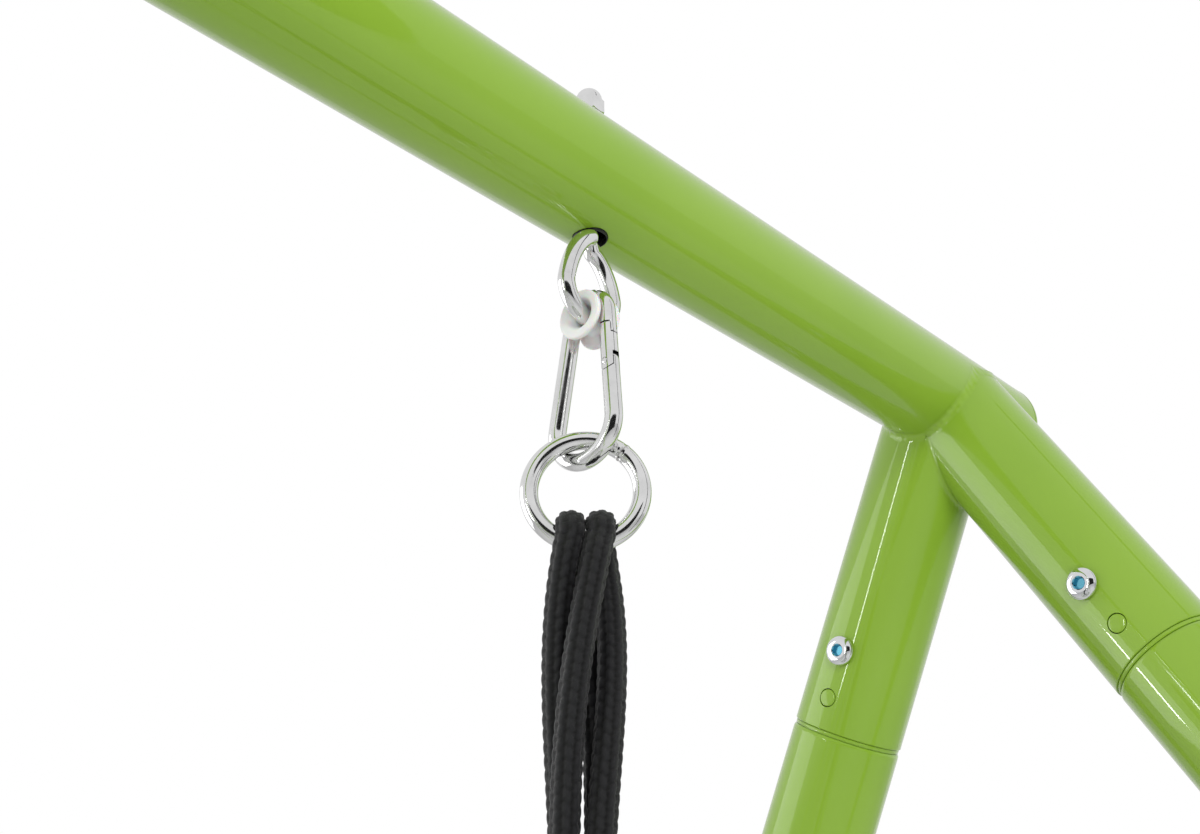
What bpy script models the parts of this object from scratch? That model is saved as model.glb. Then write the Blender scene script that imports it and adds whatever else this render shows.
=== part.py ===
"""Nest swing set: a tubular A-frame with a round rope nest on two hangers.

Metres, +Z up. The crossbar lies along X and the nest swings along Y. The origin is on the ground under
the middle of the crossbar.
"""
import math

import bmesh
import bpy
from mathutils import Matrix, Vector

# Crossbar
BAR_HEIGHT = 1.950
BAR_RADIUS = 0.0300
BAR_WALL = 0.0020
BAR_TIP_X = 0.8428
CAP_THICKNESS = 0.0060
CAP_PLUG = 0.0150

# Leg sockets and legs; distances along a leg start at the crossbar's axis
LEG_NODE_X = 0.7832
LEG_LEAN_X = 0.1011
LEG_SPREAD_Y = 0.5629
LEG_RADIUS = 0.0315
LEG_WALL = 0.0020
SCREW_TURN = math.radians(-4.6)
SOCKET_START = 0.0080
SOCKET_END = 0.2034
SOCKET_SCREW = 0.1573
SNAP_BUTTON = 0.1852
UPPER_NECK_START = 0.0950
UPPER_SHOULDER = 0.2062
UPPER_END = 1.1900
LOWER_NECK_START = 1.0800
LOWER_SHOULDER = 1.1933
LEG_JOINT_SCREW = 1.1350
LEG_END_HEIGHT = 0.0270
SWAGE = 0.0035
CUT_REACH = 0.0500

# Feet
FOOT_TOP = 2.1300
FOOT_RADIUS = 0.0365
FOOT_PLATE_RADIUS = 0.0600
FOOT_PLATE = 0.0080
FOOT_TRIM = 0.0800

# Screws, nuts and buttons
SCREW_RADIUS = 0.0040
SCREW_HEAD_RADIUS = 0.0080
SCREW_HEAD = 0.0044
SCREW_TAIL = 0.0085
HEX_KEY_RADIUS = 0.0030
HEX_KEY_DEPTH = 0.0026
NUT_CORNER_RADIUS = 0.0075
NUT_HEX = 0.0080
NUT_DOME_RADIUS = 0.0063
NUT_DOME = 0.0070
BUTTON_RADIUS = 0.0049
BUTTON_HOLE = 0.0054
BUTTON_PROUD = 0.0002
BUTTON_FLANGE = 0.0062
BUTTON_FLANGE_DROP = 0.0020
BUTTON_FLANGE_THICKNESS = 0.0012

# Hanger; heights are measured down from the crossbar's axis
EYE_X = 0.475
HANGER_SHIFT_X = -0.0006
WIRE_RADIUS = 0.0040
EYE_HALF_WIDTH = 0.0150
EYE_TOP_DROP = 0.0340
EYE_SIDE_DROP = 0.0596
EYE_TIP_ANGLE = 0.12
EYE_TIP_Y = 0.0044
EYE_NECK_ANGLE = 0.35
EYE_NECK_Y = 0.0032
EYE_NECK = ((0.0022, 0.0022, -0.0297), (0.0004, 0.0008, -0.0240), (0.0, 0.0, -0.0180))
SHANK_RISE = 0.0500
SHANK_CLEARANCE = 0.0004
HOLE_RADIUS = 0.0095
GROMMET_DEPTH = 0.0038
GROMMET_WALL = 0.0009
GROMMET_LIP = 0.0016
WASHER_RADIUS = 0.0085
WASHER = 0.0016
LOCK_NUT = 0.0065
PIVOT_DROP = EYE_SIDE_DROP + EYE_HALF_WIDTH
HOOK_TOP_RADIUS = 0.0103
HOOK_BOW_RADIUS = 0.0168
HOOK_BOW_Y = 0.0032
HOOK_BOW_DROP = 0.1264
NOSE_DROP = 0.0865
GATE_TOP_DROP = 0.0873
GATE_LIP_DROP = 0.0820
GATE_PIN_DROP = 0.1015
GATE_HALF_WIDTH = 0.0039
GATE_PIN_RADIUS = 0.0015
FORK_CLEARANCE = 0.0006
TONGUE_HALF_WIDTH = 0.0017
TONGUE_RISE = 0.0028
NOSE_HALF_WIDTH = 0.0019
RING_RADIUS = 0.0240
RING_DROP = 0.1577
RING_TURN = 0.7447

# Spool bush; radius and distance from its middle, from the flange to the groove and along the bore
BUSH_OUTSIDE = ((0.0114, 0.0075), (0.0120, 0.0064), (0.0114, 0.0046), (0.0072, 0.0033), (0.0060, 0.0))
BUSH_BORE = ((0.0076, 0.0075), (0.0051, 0.0038), (0.0044, 0.0))

# Ropes
ROPE_RADIUS = 0.0060
ROPE_OFFSET = 0.0063
ROPE_BEND = 0.0109
STRAND_OFFSET = 0.00615
SLEEVE_TOP_DROP = 0.3300
SLEEVE_BOTTOM_DROP = 0.4200
SLEEVE_RADIUS = 0.0176
SLEEVE_WALL = 0.0020
SLEEVE_SHIFT = -0.0025
STRAND_CROSSING = math.radians(-90.0)
FAN_SHARE = 0.0700
FAN_DROP = 0.0120

# Nest
RIM_HEIGHT = 0.4500
RIM_RADIUS = 0.5200
RIM_TUBE_RADIUS = 0.0160
RIM_TUBE_WALL = 0.0015
DRAIN_HOLE_RADIUS = 0.0030
PAD_RADIUS = 0.0280
PAD_SLIT = 0.0020
OUTER_HOLD = 15.0
INNER_HOLD = 45.0
LOOP_STEPS = 8
FERRULE_START = 0.0750
FERRULE_LENGTH = 0.0300
FERRULE_HALF_WIDTH = 0.0150
FERRULE_HALF_DEPTH = 0.0085
ROPE_TAIL = 0.0080
NOTCH_HALF_WIDTH = 0.0085
NOTCH_RADIUS = 0.4730
NOTCH_HALF_HEIGHT = 0.0300
NET_EDGE_RADIUS = 0.4915
NET_SAG = 0.0700
NET_THICKNESS = 0.0100
NET_STATIONS = (0.0, 0.30, 0.55, 0.80, 1.0)

# Modelling
GAP = 0.0003
CUT_PAST = 0.0010
MERGE = 0.00005
TUBE_SIDES = 12
SCREW_SIDES = 8
RIM_SIDES = 24
RIM_ANGLE = math.radians(360.0 / RIM_SIDES)
PAD_SIDES = 12
PAD_BORE_SIDES = 6

ENDS = {"left": -1, "right": 1}
LEGS = {"front": -1, "rear": 1}


def start_scene():
    """Remove what the scene holds and make the two collections."""
    for old in list(bpy.data.objects):
        bpy.data.objects.remove(old, do_unlink=True)
    for name in ("nest_swing_set", "cutters"):
        collection = bpy.data.collections.new(name)
        bpy.context.scene.collection.children.link(collection)


def material(name, colour, roughness, metallic=0.0):
    """A Principled BSDF material."""
    made = bpy.data.materials.new(name)
    made.use_nodes = True
    shader = made.node_tree.nodes["Principled BSDF"]
    shader.inputs["Base Color"].default_value = (*colour, 1.0)
    shader.inputs["Roughness"].default_value = roughness
    shader.inputs["Metallic"].default_value = metallic
    return made


start_scene()
GREEN_PAINT = material("green_paint", (0.26, 0.42, 0.06), 0.25)
GREEN_PLASTIC = material("green_plastic", (0.24, 0.40, 0.06), 0.45)
ZINC = material("zinc_plate", (0.72, 0.73, 0.75), 0.20, 1.0)
BLACK_PLASTIC = material("black_plastic", (0.02, 0.02, 0.02), 0.50)
BLACK_RUBBER = material("black_rubber", (0.025, 0.025, 0.025), 0.80)
WHITE_NYLON = material("white_nylon", (0.85, 0.85, 0.82), 0.40)
BLACK_ROPE = material("black_rope", (0.015, 0.015, 0.016), 0.85)
PAD_FABRIC = material("pad_fabric", (0.24, 0.40, 0.07), 0.75)
RIM_STEEL = material("rim_steel", (0.55, 0.56, 0.57), 0.40, 1.0)


def link(thing, collection="nest_swing_set"):
    """Put an object in a collection."""
    bpy.data.collections[collection].objects.link(thing)
    return thing


def axes(origin, z_axis, x_axis):
    """Matrix with its local Z along z_axis and its local X near x_axis."""
    z = Vector(z_axis).normalized()
    x = Vector(x_axis)
    x = (x - z * x.dot(z)).normalized()
    y = z.cross(x)
    turn = Matrix((x, y, z)).transposed().to_4x4()
    return Matrix.Translation(origin) @ turn


def place(thing, matrix):
    """Set an object's location and rotation from a matrix."""
    location, rotation, _ = matrix.decompose()
    thing.rotation_mode = "QUATERNION"
    thing.location = location
    thing.rotation_quaternion = rotation
    return thing


def turned(name, profile, matrix, finish, sides=TUBE_SIDES, closed=True):
    """Turn a profile of (radius, height) points about the local Z axis.

    The profile runs down its outer side. A closed one is a ring section; an open one starts and ends on
    the axis.
    """
    mesh = bpy.data.meshes.new(name)
    points = [(radius, 0.0, height) for radius, height in profile]
    edges = [(i, i + 1) for i in range(len(points) - 1)]
    if closed:
        edges.append((len(points) - 1, 0))
    mesh.from_pydata(points, edges, [])
    thing = link(bpy.data.objects.new(name, mesh))
    screw = thing.modifiers.new("turn", "SCREW")
    screw.axis = "Z"
    screw.angle = 2.0 * math.pi
    screw.steps = sides
    screw.render_steps = sides
    screw.use_merge_vertices = True
    screw.merge_threshold = MERGE
    mesh.materials.append(finish)
    return place(thing, matrix)


def primitive(name, build, matrix, finish=None, collection="nest_swing_set"):
    """Make an object whose mesh a bmesh primitive fills."""
    mesh = bpy.data.meshes.new(name)
    shape = bmesh.new()
    build(shape)
    shape.to_mesh(mesh)
    shape.free()
    thing = link(bpy.data.objects.new(name, mesh), collection)
    if finish:
        mesh.materials.append(finish)
    return place(thing, matrix)


def rod(shape, radius, low, high, sides):
    """Fill a bmesh with a closed cylinder along Z from low to high."""
    made = bmesh.ops.create_cone(shape, cap_ends=True, segments=sides, radius1=radius, radius2=radius,
                                 depth=high - low)
    bmesh.ops.translate(shape, verts=made["verts"], vec=(0.0, 0.0, 0.5 * (low + high)))


def block(shape, low, high):
    """Fill a bmesh with a box between two corners."""
    made = bmesh.ops.create_cube(shape, size=1.0)
    size = [b - a for a, b in zip(low, high)]
    middle = [0.5 * (a + b) for a, b in zip(low, high)]
    bmesh.ops.scale(shape, verts=made["verts"], vec=size)
    bmesh.ops.translate(shape, verts=made["verts"], vec=middle)


def as_cutter(thing):
    """Mark an object as a cutter."""
    thing.hide_render = True
    thing.display_type = "WIRE"
    return thing


def rod_cutter(name, matrix, radius, low, high, sides=TUBE_SIDES):
    """A cylinder that cuts or joins."""
    made = primitive(name, lambda shape: rod(shape, radius, low, high, sides), matrix, None, "cutters")
    return as_cutter(made)


def block_cutter(name, matrix, low, high):
    """A box that cuts."""
    made = primitive(name, lambda shape: block(shape, low, high), matrix, None, "cutters")
    return as_cutter(made)


def combine(thing, other, operation="DIFFERENCE"):
    """Cut an object with another, or join the other to it."""
    boolean = thing.modifiers.new(other.name, "BOOLEAN")
    boolean.operation = operation
    boolean.object = other
    return thing


def fixed_mesh(thing):
    """The mesh of an object with its modifiers or its bevel applied, doubles merged."""
    bpy.context.view_layer.update()
    seen = thing.evaluated_get(bpy.context.evaluated_depsgraph_get())
    mesh = bpy.data.meshes.new_from_object(seen)
    shape = bmesh.new()
    shape.from_mesh(mesh)
    bmesh.ops.remove_doubles(shape, verts=shape.verts, dist=MERGE)
    shape.to_mesh(mesh)
    shape.free()
    return mesh


def bent_wire(name, points, radius, finish, origin):
    """A round wire along points, made a mesh so that it can be cut. The object's origin is given."""
    curve = bpy.data.curves.new(name + "_route", "CURVE")
    curve.dimensions = "3D"
    curve.bevel_depth = radius
    curve.bevel_resolution = 2
    curve.use_fill_caps = True
    spline = curve.splines.new("POLY")
    spline.points.add(len(points) - 1)
    for point, target in zip(spline.points, points):
        point.co = (*(Vector(target) - Vector(origin)), 1.0)
    path = link(bpy.data.objects.new(name + "_route", curve))
    path.location = origin
    mesh = fixed_mesh(path)
    thing = link(bpy.data.objects.new(name, mesh))
    thing.matrix_world = Matrix.Translation(origin)
    mesh.materials.clear()
    mesh.materials.append(finish)
    bpy.data.objects.remove(path, do_unlink=True)
    return thing


def copies(pattern, places, finish):
    """A copy of a pattern piece for each name and matrix in places; the pattern is removed."""
    mesh = fixed_mesh(pattern)
    mesh.materials.clear()
    mesh.materials.append(finish)
    bpy.data.objects.remove(pattern, do_unlink=True)
    for name, matrix in places.items():
        place(link(bpy.data.objects.new(name, mesh)), matrix)


def pivot(name, location):
    """An empty on a joint's axis."""
    made = link(bpy.data.objects.new(name, None))
    made.location = location
    return made


def ride(thing, parent):
    """Parent an object to an empty without moving it."""
    thing.parent = parent
    thing.matrix_parent_inverse = Matrix.Translation(parent.location).inverted()
    return thing


def finish_surface(thing):
    """Shade the round faces smooth and keep the edges sharp."""
    if thing.type == "MESH" and thing.data.polygons:
        thing.data.shade_smooth()
        thing.data.set_sharp_from_angle(angle=math.radians(35.0))


def leg_axes(end, leg):
    """Matrix of a leg: local Z runs down the leg, local X points to where its screws' heads are."""
    down = Vector((end * LEG_LEAN_X, leg * LEG_SPREAD_Y, -1.0))
    base = axes((end * LEG_NODE_X, 0.0, BAR_HEIGHT), down, (-end, 0.0, 0.0))
    return base @ Matrix.Rotation(SCREW_TURN * end * leg, 4, "Z")


def across(end, leg, distance):
    """Matrix with its local Z square to a leg, through the leg's axis at a distance along it."""
    step = Matrix.Translation((0.0, 0.0, distance))
    return leg_axes(end, leg) @ step @ Matrix.Rotation(math.radians(90.0), 4, "Y")


def all_legs():
    """The four leg names with their end and leg signs."""
    for end_name, end in ENDS.items():
        for leg_name, leg in LEGS.items():
            yield f"{end_name}_{leg_name}", end, leg


def swaged_profile(neck_start, shoulder, end, radius, wall):
    """Tube section with a reduced neck; heights are distances from the neck's start to the far end."""
    neck = radius - wall - GAP
    return [
        (radius, end),
        (radius, shoulder + SWAGE),
        (neck, shoulder),
        (neck, neck_start),
        (neck - wall, neck_start),
        (neck - wall, shoulder + 0.5 * SWAGE),
        (radius - wall, shoulder + 2.0 * SWAGE),
        (radius - wall, end),
    ]


def make_crossbar():
    """The tube with its hanger holes, and the two end caps."""
    along = axes((0.0, 0.0, BAR_HEIGHT), (1.0, 0.0, 0.0), (0.0, 0.0, 1.0))
    mirrored = axes((0.0, 0.0, BAR_HEIGHT), (-1.0, 0.0, 0.0), (0.0, 0.0, 1.0))
    tube_end = BAR_TIP_X - CAP_THICKNESS
    inner = BAR_RADIUS - BAR_WALL
    tube = [(BAR_RADIUS, tube_end), (BAR_RADIUS, -tube_end), (inner, -tube_end), (inner, tube_end)]
    bar = turned("crossbar", tube, along, GREEN_PAINT)
    for name, end in ENDS.items():
        up = Matrix.Translation((end * EYE_X, 0.0, BAR_HEIGHT))
        combine(bar, rod_cutter(f"shank_hole_{name}", up, WIRE_RADIUS + SHANK_CLEARANCE,
                                0.5 * BAR_RADIUS, 1.5 * BAR_RADIUS))
        combine(bar, rod_cutter(f"eye_hole_{name}", up, HOLE_RADIUS, -1.5 * BAR_RADIUS, -0.5 * BAR_RADIUS))
    cap = [
        (0.0, BAR_TIP_X),
        (0.80 * BAR_RADIUS, BAR_TIP_X),
        (0.95 * BAR_RADIUS, BAR_TIP_X - 0.25 * CAP_THICKNESS),
        (BAR_RADIUS, BAR_TIP_X - 0.60 * CAP_THICKNESS),
        (BAR_RADIUS, tube_end + GAP),
        (inner - GAP, tube_end + GAP),
        (inner - GAP, tube_end - CAP_PLUG),
        (inner - BAR_WALL, tube_end - CAP_PLUG),
        (inner - BAR_WALL, tube_end),
        (0.0, tube_end),
    ]
    turned("end_cap_right", cap, along, GREEN_PLASTIC, closed=False)
    turned("end_cap_left", cap, mirrored, GREEN_PLASTIC, closed=False)


def bolt_pattern(seat):
    """Button-head bolt along Z through a tube of outer radius seat, with its domed nut at the bottom."""
    under = seat + GAP
    profile = [
        (0.0, under + SCREW_HEAD),
        (0.65 * SCREW_HEAD_RADIUS, under + SCREW_HEAD),
        (SCREW_HEAD_RADIUS, under + 0.35 * SCREW_HEAD),
        (SCREW_HEAD_RADIUS, under),
        (SCREW_RADIUS, under),
        (SCREW_RADIUS, -seat - SCREW_TAIL),
        (0.0, -seat - SCREW_TAIL),
    ]
    pattern = turned("bolt_pattern", profile, Matrix(), ZINC, SCREW_SIDES, closed=False)
    top = under + SCREW_HEAD
    key = rod_cutter("hex_key", Matrix(), HEX_KEY_RADIUS, top - HEX_KEY_DEPTH, top + CUT_PAST, 6)
    combine(pattern, key)
    nut = cap_nut("bolt_nut", seat + GAP, Matrix.Rotation(math.pi, 4, "X"))
    return combine(pattern, move_to_cutters(nut), "UNION")


def move_to_cutters(thing):
    """Make a shape that was built as a piece serve as a cutter."""
    bpy.data.collections["nest_swing_set"].objects.unlink(thing)
    return as_cutter(link(thing, "cutters"))


def cap_nut(name, seat, matrix):
    """Solid domed nut on a matrix's Z axis, its seat at height seat."""
    nut = primitive(name, lambda shape: rod(shape, NUT_CORNER_RADIUS, seat, seat + NUT_HEX, 6), matrix)
    top = seat + NUT_HEX
    dome = [(0.0, top + NUT_DOME)]
    for step in (0.50, 0.87):
        dome.append((NUT_DOME_RADIUS * step, top + NUT_DOME * math.sqrt(1.0 - step * step)))
    foot = top - 0.25 * NUT_HEX
    dome += [(NUT_DOME_RADIUS, top + 0.15 * NUT_DOME), (NUT_DOME_RADIUS, foot), (0.0, foot)]
    cap = turned(name + "_dome", dome, matrix, ZINC, SCREW_SIDES, closed=False)
    return combine(nut, move_to_cutters(cap), "UNION")


def make_sockets():
    """Four coped and mitred tubes under the crossbar."""
    bar = axes((0.0, 0.0, BAR_HEIGHT), (1.0, 0.0, 0.0), (0.0, 0.0, 1.0))
    far = BAR_TIP_X + SOCKET_END
    cope = rod_cutter("cope", bar, BAR_RADIUS + GAP, -far, far, 2 * TUBE_SIDES)
    inner = LEG_RADIUS - LEG_WALL
    profile = [
        (LEG_RADIUS, SOCKET_END),
        (LEG_RADIUS, SOCKET_START),
        (inner, SOCKET_START),
        (inner, SOCKET_END),
    ]
    for name, end, leg in all_legs():
        socket = turned(f"leg_socket_{name}", profile, leg_axes(end, leg), GREEN_PAINT)
        combine(socket, cope)
        near_y, far_y = sorted((leg * 0.5 * GAP, -leg * SOCKET_END))
        combine(socket, block_cutter(f"mitre_{name}", Matrix(), (-far, near_y, BAR_HEIGHT - SOCKET_END),
                                     (far, far_y, BAR_HEIGHT + SOCKET_END)))
        screw_hole = rod_cutter(f"socket_hole_{name}", across(end, leg, SOCKET_SCREW),
                                SCREW_RADIUS + GAP, -CUT_REACH, CUT_REACH, SCREW_SIDES)
        button_hole = rod_cutter(f"button_hole_{name}", across(end, leg, SNAP_BUTTON),
                                 BUTTON_HOLE, 0.0, CUT_REACH, SCREW_SIDES)
        combine(socket, screw_hole)
        combine(socket, button_hole)
        yield name, screw_hole, button_hole


def make_legs(socket_cutters):
    """Upper and lower leg tubes, each with a neck at its top, and the screws through their joints."""
    drop = math.sqrt(1.0 + LEG_LEAN_X ** 2 + LEG_SPREAD_Y ** 2)
    leg_end = (BAR_HEIGHT - LEG_END_HEIGHT) * drop
    upper = swaged_profile(UPPER_NECK_START, UPPER_SHOULDER, UPPER_END, LEG_RADIUS, LEG_WALL)
    lower = swaged_profile(LOWER_NECK_START, LOWER_SHOULDER, leg_end, LEG_RADIUS, LEG_WALL)
    signs = {name: (end, leg) for name, end, leg in all_legs()}
    for name, screw_hole, button_hole in socket_cutters:
        end, leg = signs[name]
        frame = leg_axes(end, leg)
        top = turned(f"upper_leg_{name}", upper, frame, GREEN_PAINT)
        low = turned(f"lower_leg_{name}", lower, frame, GREEN_PAINT)
        joint_hole = rod_cutter(f"leg_joint_hole_{name}", across(end, leg, LEG_JOINT_SCREW),
                                SCREW_RADIUS + GAP, -CUT_REACH, CUT_REACH, SCREW_SIDES)
        combine(top, screw_hole)
        combine(top, button_hole)
        combine(top, joint_hole)
        combine(low, joint_hole)
        make_foot(name, frame, leg_end)
    places = {}
    for name, end, leg in all_legs():
        places[f"socket_bolt_{name}"] = across(end, leg, SOCKET_SCREW)
        places[f"leg_joint_bolt_{name}"] = across(end, leg, LEG_JOINT_SCREW)
    copies(bolt_pattern(LEG_RADIUS), places, ZINC)


def make_foot(name, frame, leg_end):
    """Rubber foot: a cup round the leg's end on a flat round plate."""
    past_floor = leg_end + FOOT_TRIM
    foot = primitive(f"foot_{name}", lambda shape: rod(shape, FOOT_RADIUS, FOOT_TOP, past_floor, TUBE_SIDES),
                     frame, BLACK_RUBBER)
    ground = frame @ Vector((0.0, 0.0, leg_end))
    down = (frame.to_3x3() @ Vector((0.0, 0.0, 1.0))).normalized()
    ground = ground - down * (ground.z / down.z)
    plate = rod_cutter(f"foot_plate_{name}", Matrix.Translation((ground.x, ground.y, 0.0)),
                       FOOT_PLATE_RADIUS, -FOOT_PLATE, FOOT_PLATE, TUBE_SIDES)
    cup = rod_cutter(f"foot_cup_{name}", frame, LEG_RADIUS + GAP, FOOT_TOP - CUT_PAST, leg_end + GAP)
    reach = 2.0 * FOOT_TRIM
    floor = block_cutter(f"foot_floor_{name}", Matrix.Translation((ground.x, ground.y, 0.0)),
                         (-reach, -reach, -reach), (reach, reach, 0.0))
    combine(foot, plate, "UNION")
    combine(foot, cup)
    combine(foot, floor)


def make_buttons():
    """Snap buttons that stand flush in the sockets."""
    flange_top = LEG_RADIUS - 2.0 * LEG_WALL - GAP - BUTTON_FLANGE_DROP
    flange_low = flange_top - BUTTON_FLANGE_THICKNESS
    profile = [
        (0.0, LEG_RADIUS + BUTTON_PROUD),
        (0.80 * BUTTON_RADIUS, LEG_RADIUS + 0.5 * BUTTON_PROUD),
        (BUTTON_RADIUS, LEG_RADIUS - 3.0 * BUTTON_PROUD),
        (BUTTON_RADIUS, flange_top),
        (BUTTON_FLANGE, flange_top),
        (BUTTON_FLANGE, flange_low),
        (0.0, flange_low),
    ]
    for name, end, leg in all_legs():
        turned(f"snap_button_{name}", profile, across(end, leg, SNAP_BUTTON), GREEN_PAINT, SCREW_SIDES,
               closed=False)


def eye_route(end):
    """Points of an eye bolt's wire: its cut end, round the eye, then up the shank."""
    points = []
    rise = EYE_SIDE_DROP - EYE_TOP_DROP
    for step in range(7):
        angle = EYE_TIP_ANGLE + (0.5 * math.pi - EYE_TIP_ANGLE) * step / 6
        points.append((-EYE_HALF_WIDTH * math.sin(angle), -EYE_TIP_Y * math.cos(angle),
                       -EYE_SIDE_DROP + rise * math.cos(angle)))
    for step in range(1, 10):
        angle = math.pi + math.pi * step / 9
        points.append((EYE_HALF_WIDTH * math.cos(angle), 0.0,
                       -EYE_SIDE_DROP + EYE_HALF_WIDTH * math.sin(angle)))
    for step in range(1, 6):
        angle = 0.5 * math.pi - (0.5 * math.pi - EYE_NECK_ANGLE) * step / 5
        points.append((EYE_HALF_WIDTH * math.sin(angle), EYE_NECK_Y * math.cos(angle),
                       -EYE_SIDE_DROP + rise * math.cos(angle)))
    shank = -HANGER_SHIFT_X
    points += [(x + shank, y, z) for x, y, z in EYE_NECK]
    points.append((shank, 0.0, SHANK_RISE))
    middle = Vector((end * (EYE_X + HANGER_SHIFT_X), 0.0, BAR_HEIGHT))
    return [middle + Vector((end * x, end * y, z)) for x, y, z in points]


def make_eye_bolts():
    """Eye bolts with their washers, lock nuts, cap nuts and the grommets in the bar's lower holes."""
    uprights = {name: Matrix.Translation((end * EYE_X, 0.0, BAR_HEIGHT)) for name, end in ENDS.items()}
    for name, end in ENDS.items():
        origin = (end * EYE_X, 0.0, BAR_HEIGHT)
        bent_wire(f"eye_bolt_{name}", eye_route(end), WIRE_RADIUS, ZINC, origin)
    bore = SCREW_RADIUS + GAP
    washer_low = BAR_RADIUS + GAP
    washer_top = washer_low + WASHER
    washer = turned("washer_pattern", [(WASHER_RADIUS, washer_top), (WASHER_RADIUS, washer_low),
                                       (bore, washer_low), (bore, washer_top)], Matrix(), ZINC, 16)
    copies(washer, {f"hanger_washer_{name}": place_at for name, place_at in uprights.items()}, ZINC)
    nut_low = washer_top + GAP
    nut_high = nut_low + LOCK_NUT
    lock = primitive("lock_nut_pattern",
                     lambda shape: rod(shape, NUT_CORNER_RADIUS, nut_low, nut_high, 6), Matrix())
    combine(lock, rod_cutter("lock_nut_bore", Matrix(), bore, nut_low - CUT_PAST, nut_high + CUT_PAST))
    copies(lock, {f"hanger_lock_nut_{name}": place_at for name, place_at in uprights.items()}, ZINC)
    seat = nut_high + GAP
    cap = cap_nut("cap_nut_pattern", seat, Matrix())
    combine(cap, rod_cutter("cap_nut_bore", Matrix(), bore, seat - CUT_PAST, SHANK_RISE + GAP))
    copies(cap, {f"hanger_cap_nut_{name}": place_at for name, place_at in uprights.items()}, ZINC)
    outer = HOLE_RADIUS - GAP
    inner = outer - GROMMET_WALL
    lip = outer + GROMMET_WALL
    top = GROMMET_DEPTH - BAR_RADIUS
    seat = -BAR_RADIUS - 2.0 * GAP
    under = -BAR_RADIUS - GROMMET_LIP
    profile = [(outer, top), (outer, seat), (lip, seat), (lip, under), (inner, under), (inner, top)]
    grommet = turned("grommet_pattern", profile, Matrix(), BLACK_PLASTIC)
    copies(grommet, {f"bar_grommet_{name}": place_at for name, place_at in uprights.items()}, BLACK_PLASTIC)


def limb(end_sign):
    """Tangent points of the hook's straight limb on the given side (-1 gate, +1 spine), as (y, z)."""
    top = Vector((0.0, -PIVOT_DROP))
    low = Vector((HOOK_BOW_Y, -HOOK_BOW_DROP))
    span = low - top
    lean = math.acos((HOOK_TOP_RADIUS - HOOK_BOW_RADIUS) / span.length)
    angle = math.atan2(span.y, span.x) + end_sign * lean
    normal = Vector((math.cos(angle), math.sin(angle)))
    return top + normal * HOOK_TOP_RADIUS, low + normal * HOOK_BOW_RADIUS, angle


def on_gate_limb(drop):
    """Point (y, z) on the gate limb's axis at a height below the crossbar's axis."""
    top, low, _ = limb(-1)
    share = (-drop - top.y) / (low.y - top.y)
    return top + (low - top) * share


def hook_route(x):
    """Points of a snap hook's wire from its nose, round the top, spine and bow, up to the gate's pin."""
    _, _, gate_angle = limb(-1)
    _, _, spine_angle = limb(1)
    gate_angle %= 2.0 * math.pi
    points = [on_gate_limb(NOSE_DROP)]
    top = Vector((0.0, -PIVOT_DROP))
    for step in range(10):
        angle = gate_angle + (spine_angle - gate_angle) * step / 9
        points.append(top + HOOK_TOP_RADIUS * Vector((math.cos(angle), math.sin(angle))))
    low = Vector((HOOK_BOW_Y, -HOOK_BOW_DROP))
    for step in range(12):
        angle = spine_angle + (gate_angle - 2.0 * math.pi - spine_angle) * step / 11
        points.append(low + HOOK_BOW_RADIUS * Vector((math.cos(angle), math.sin(angle))))
    points.append(on_gate_limb(GATE_PIN_DROP - TONGUE_RISE))
    return [Vector((x, y, BAR_HEIGHT + z)) for y, z in points]


def gate_axes(x):
    """Matrix with its local Z up the gate limb and its origin on the gate's pin."""
    pin = on_gate_limb(GATE_PIN_DROP)
    top = on_gate_limb(GATE_TOP_DROP)
    up = Vector((0.0, top.x - pin.x, top.y - pin.y))
    return axes((x, pin.x, BAR_HEIGHT + pin.y), up, (1.0, 0.0, 0.0))


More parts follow.
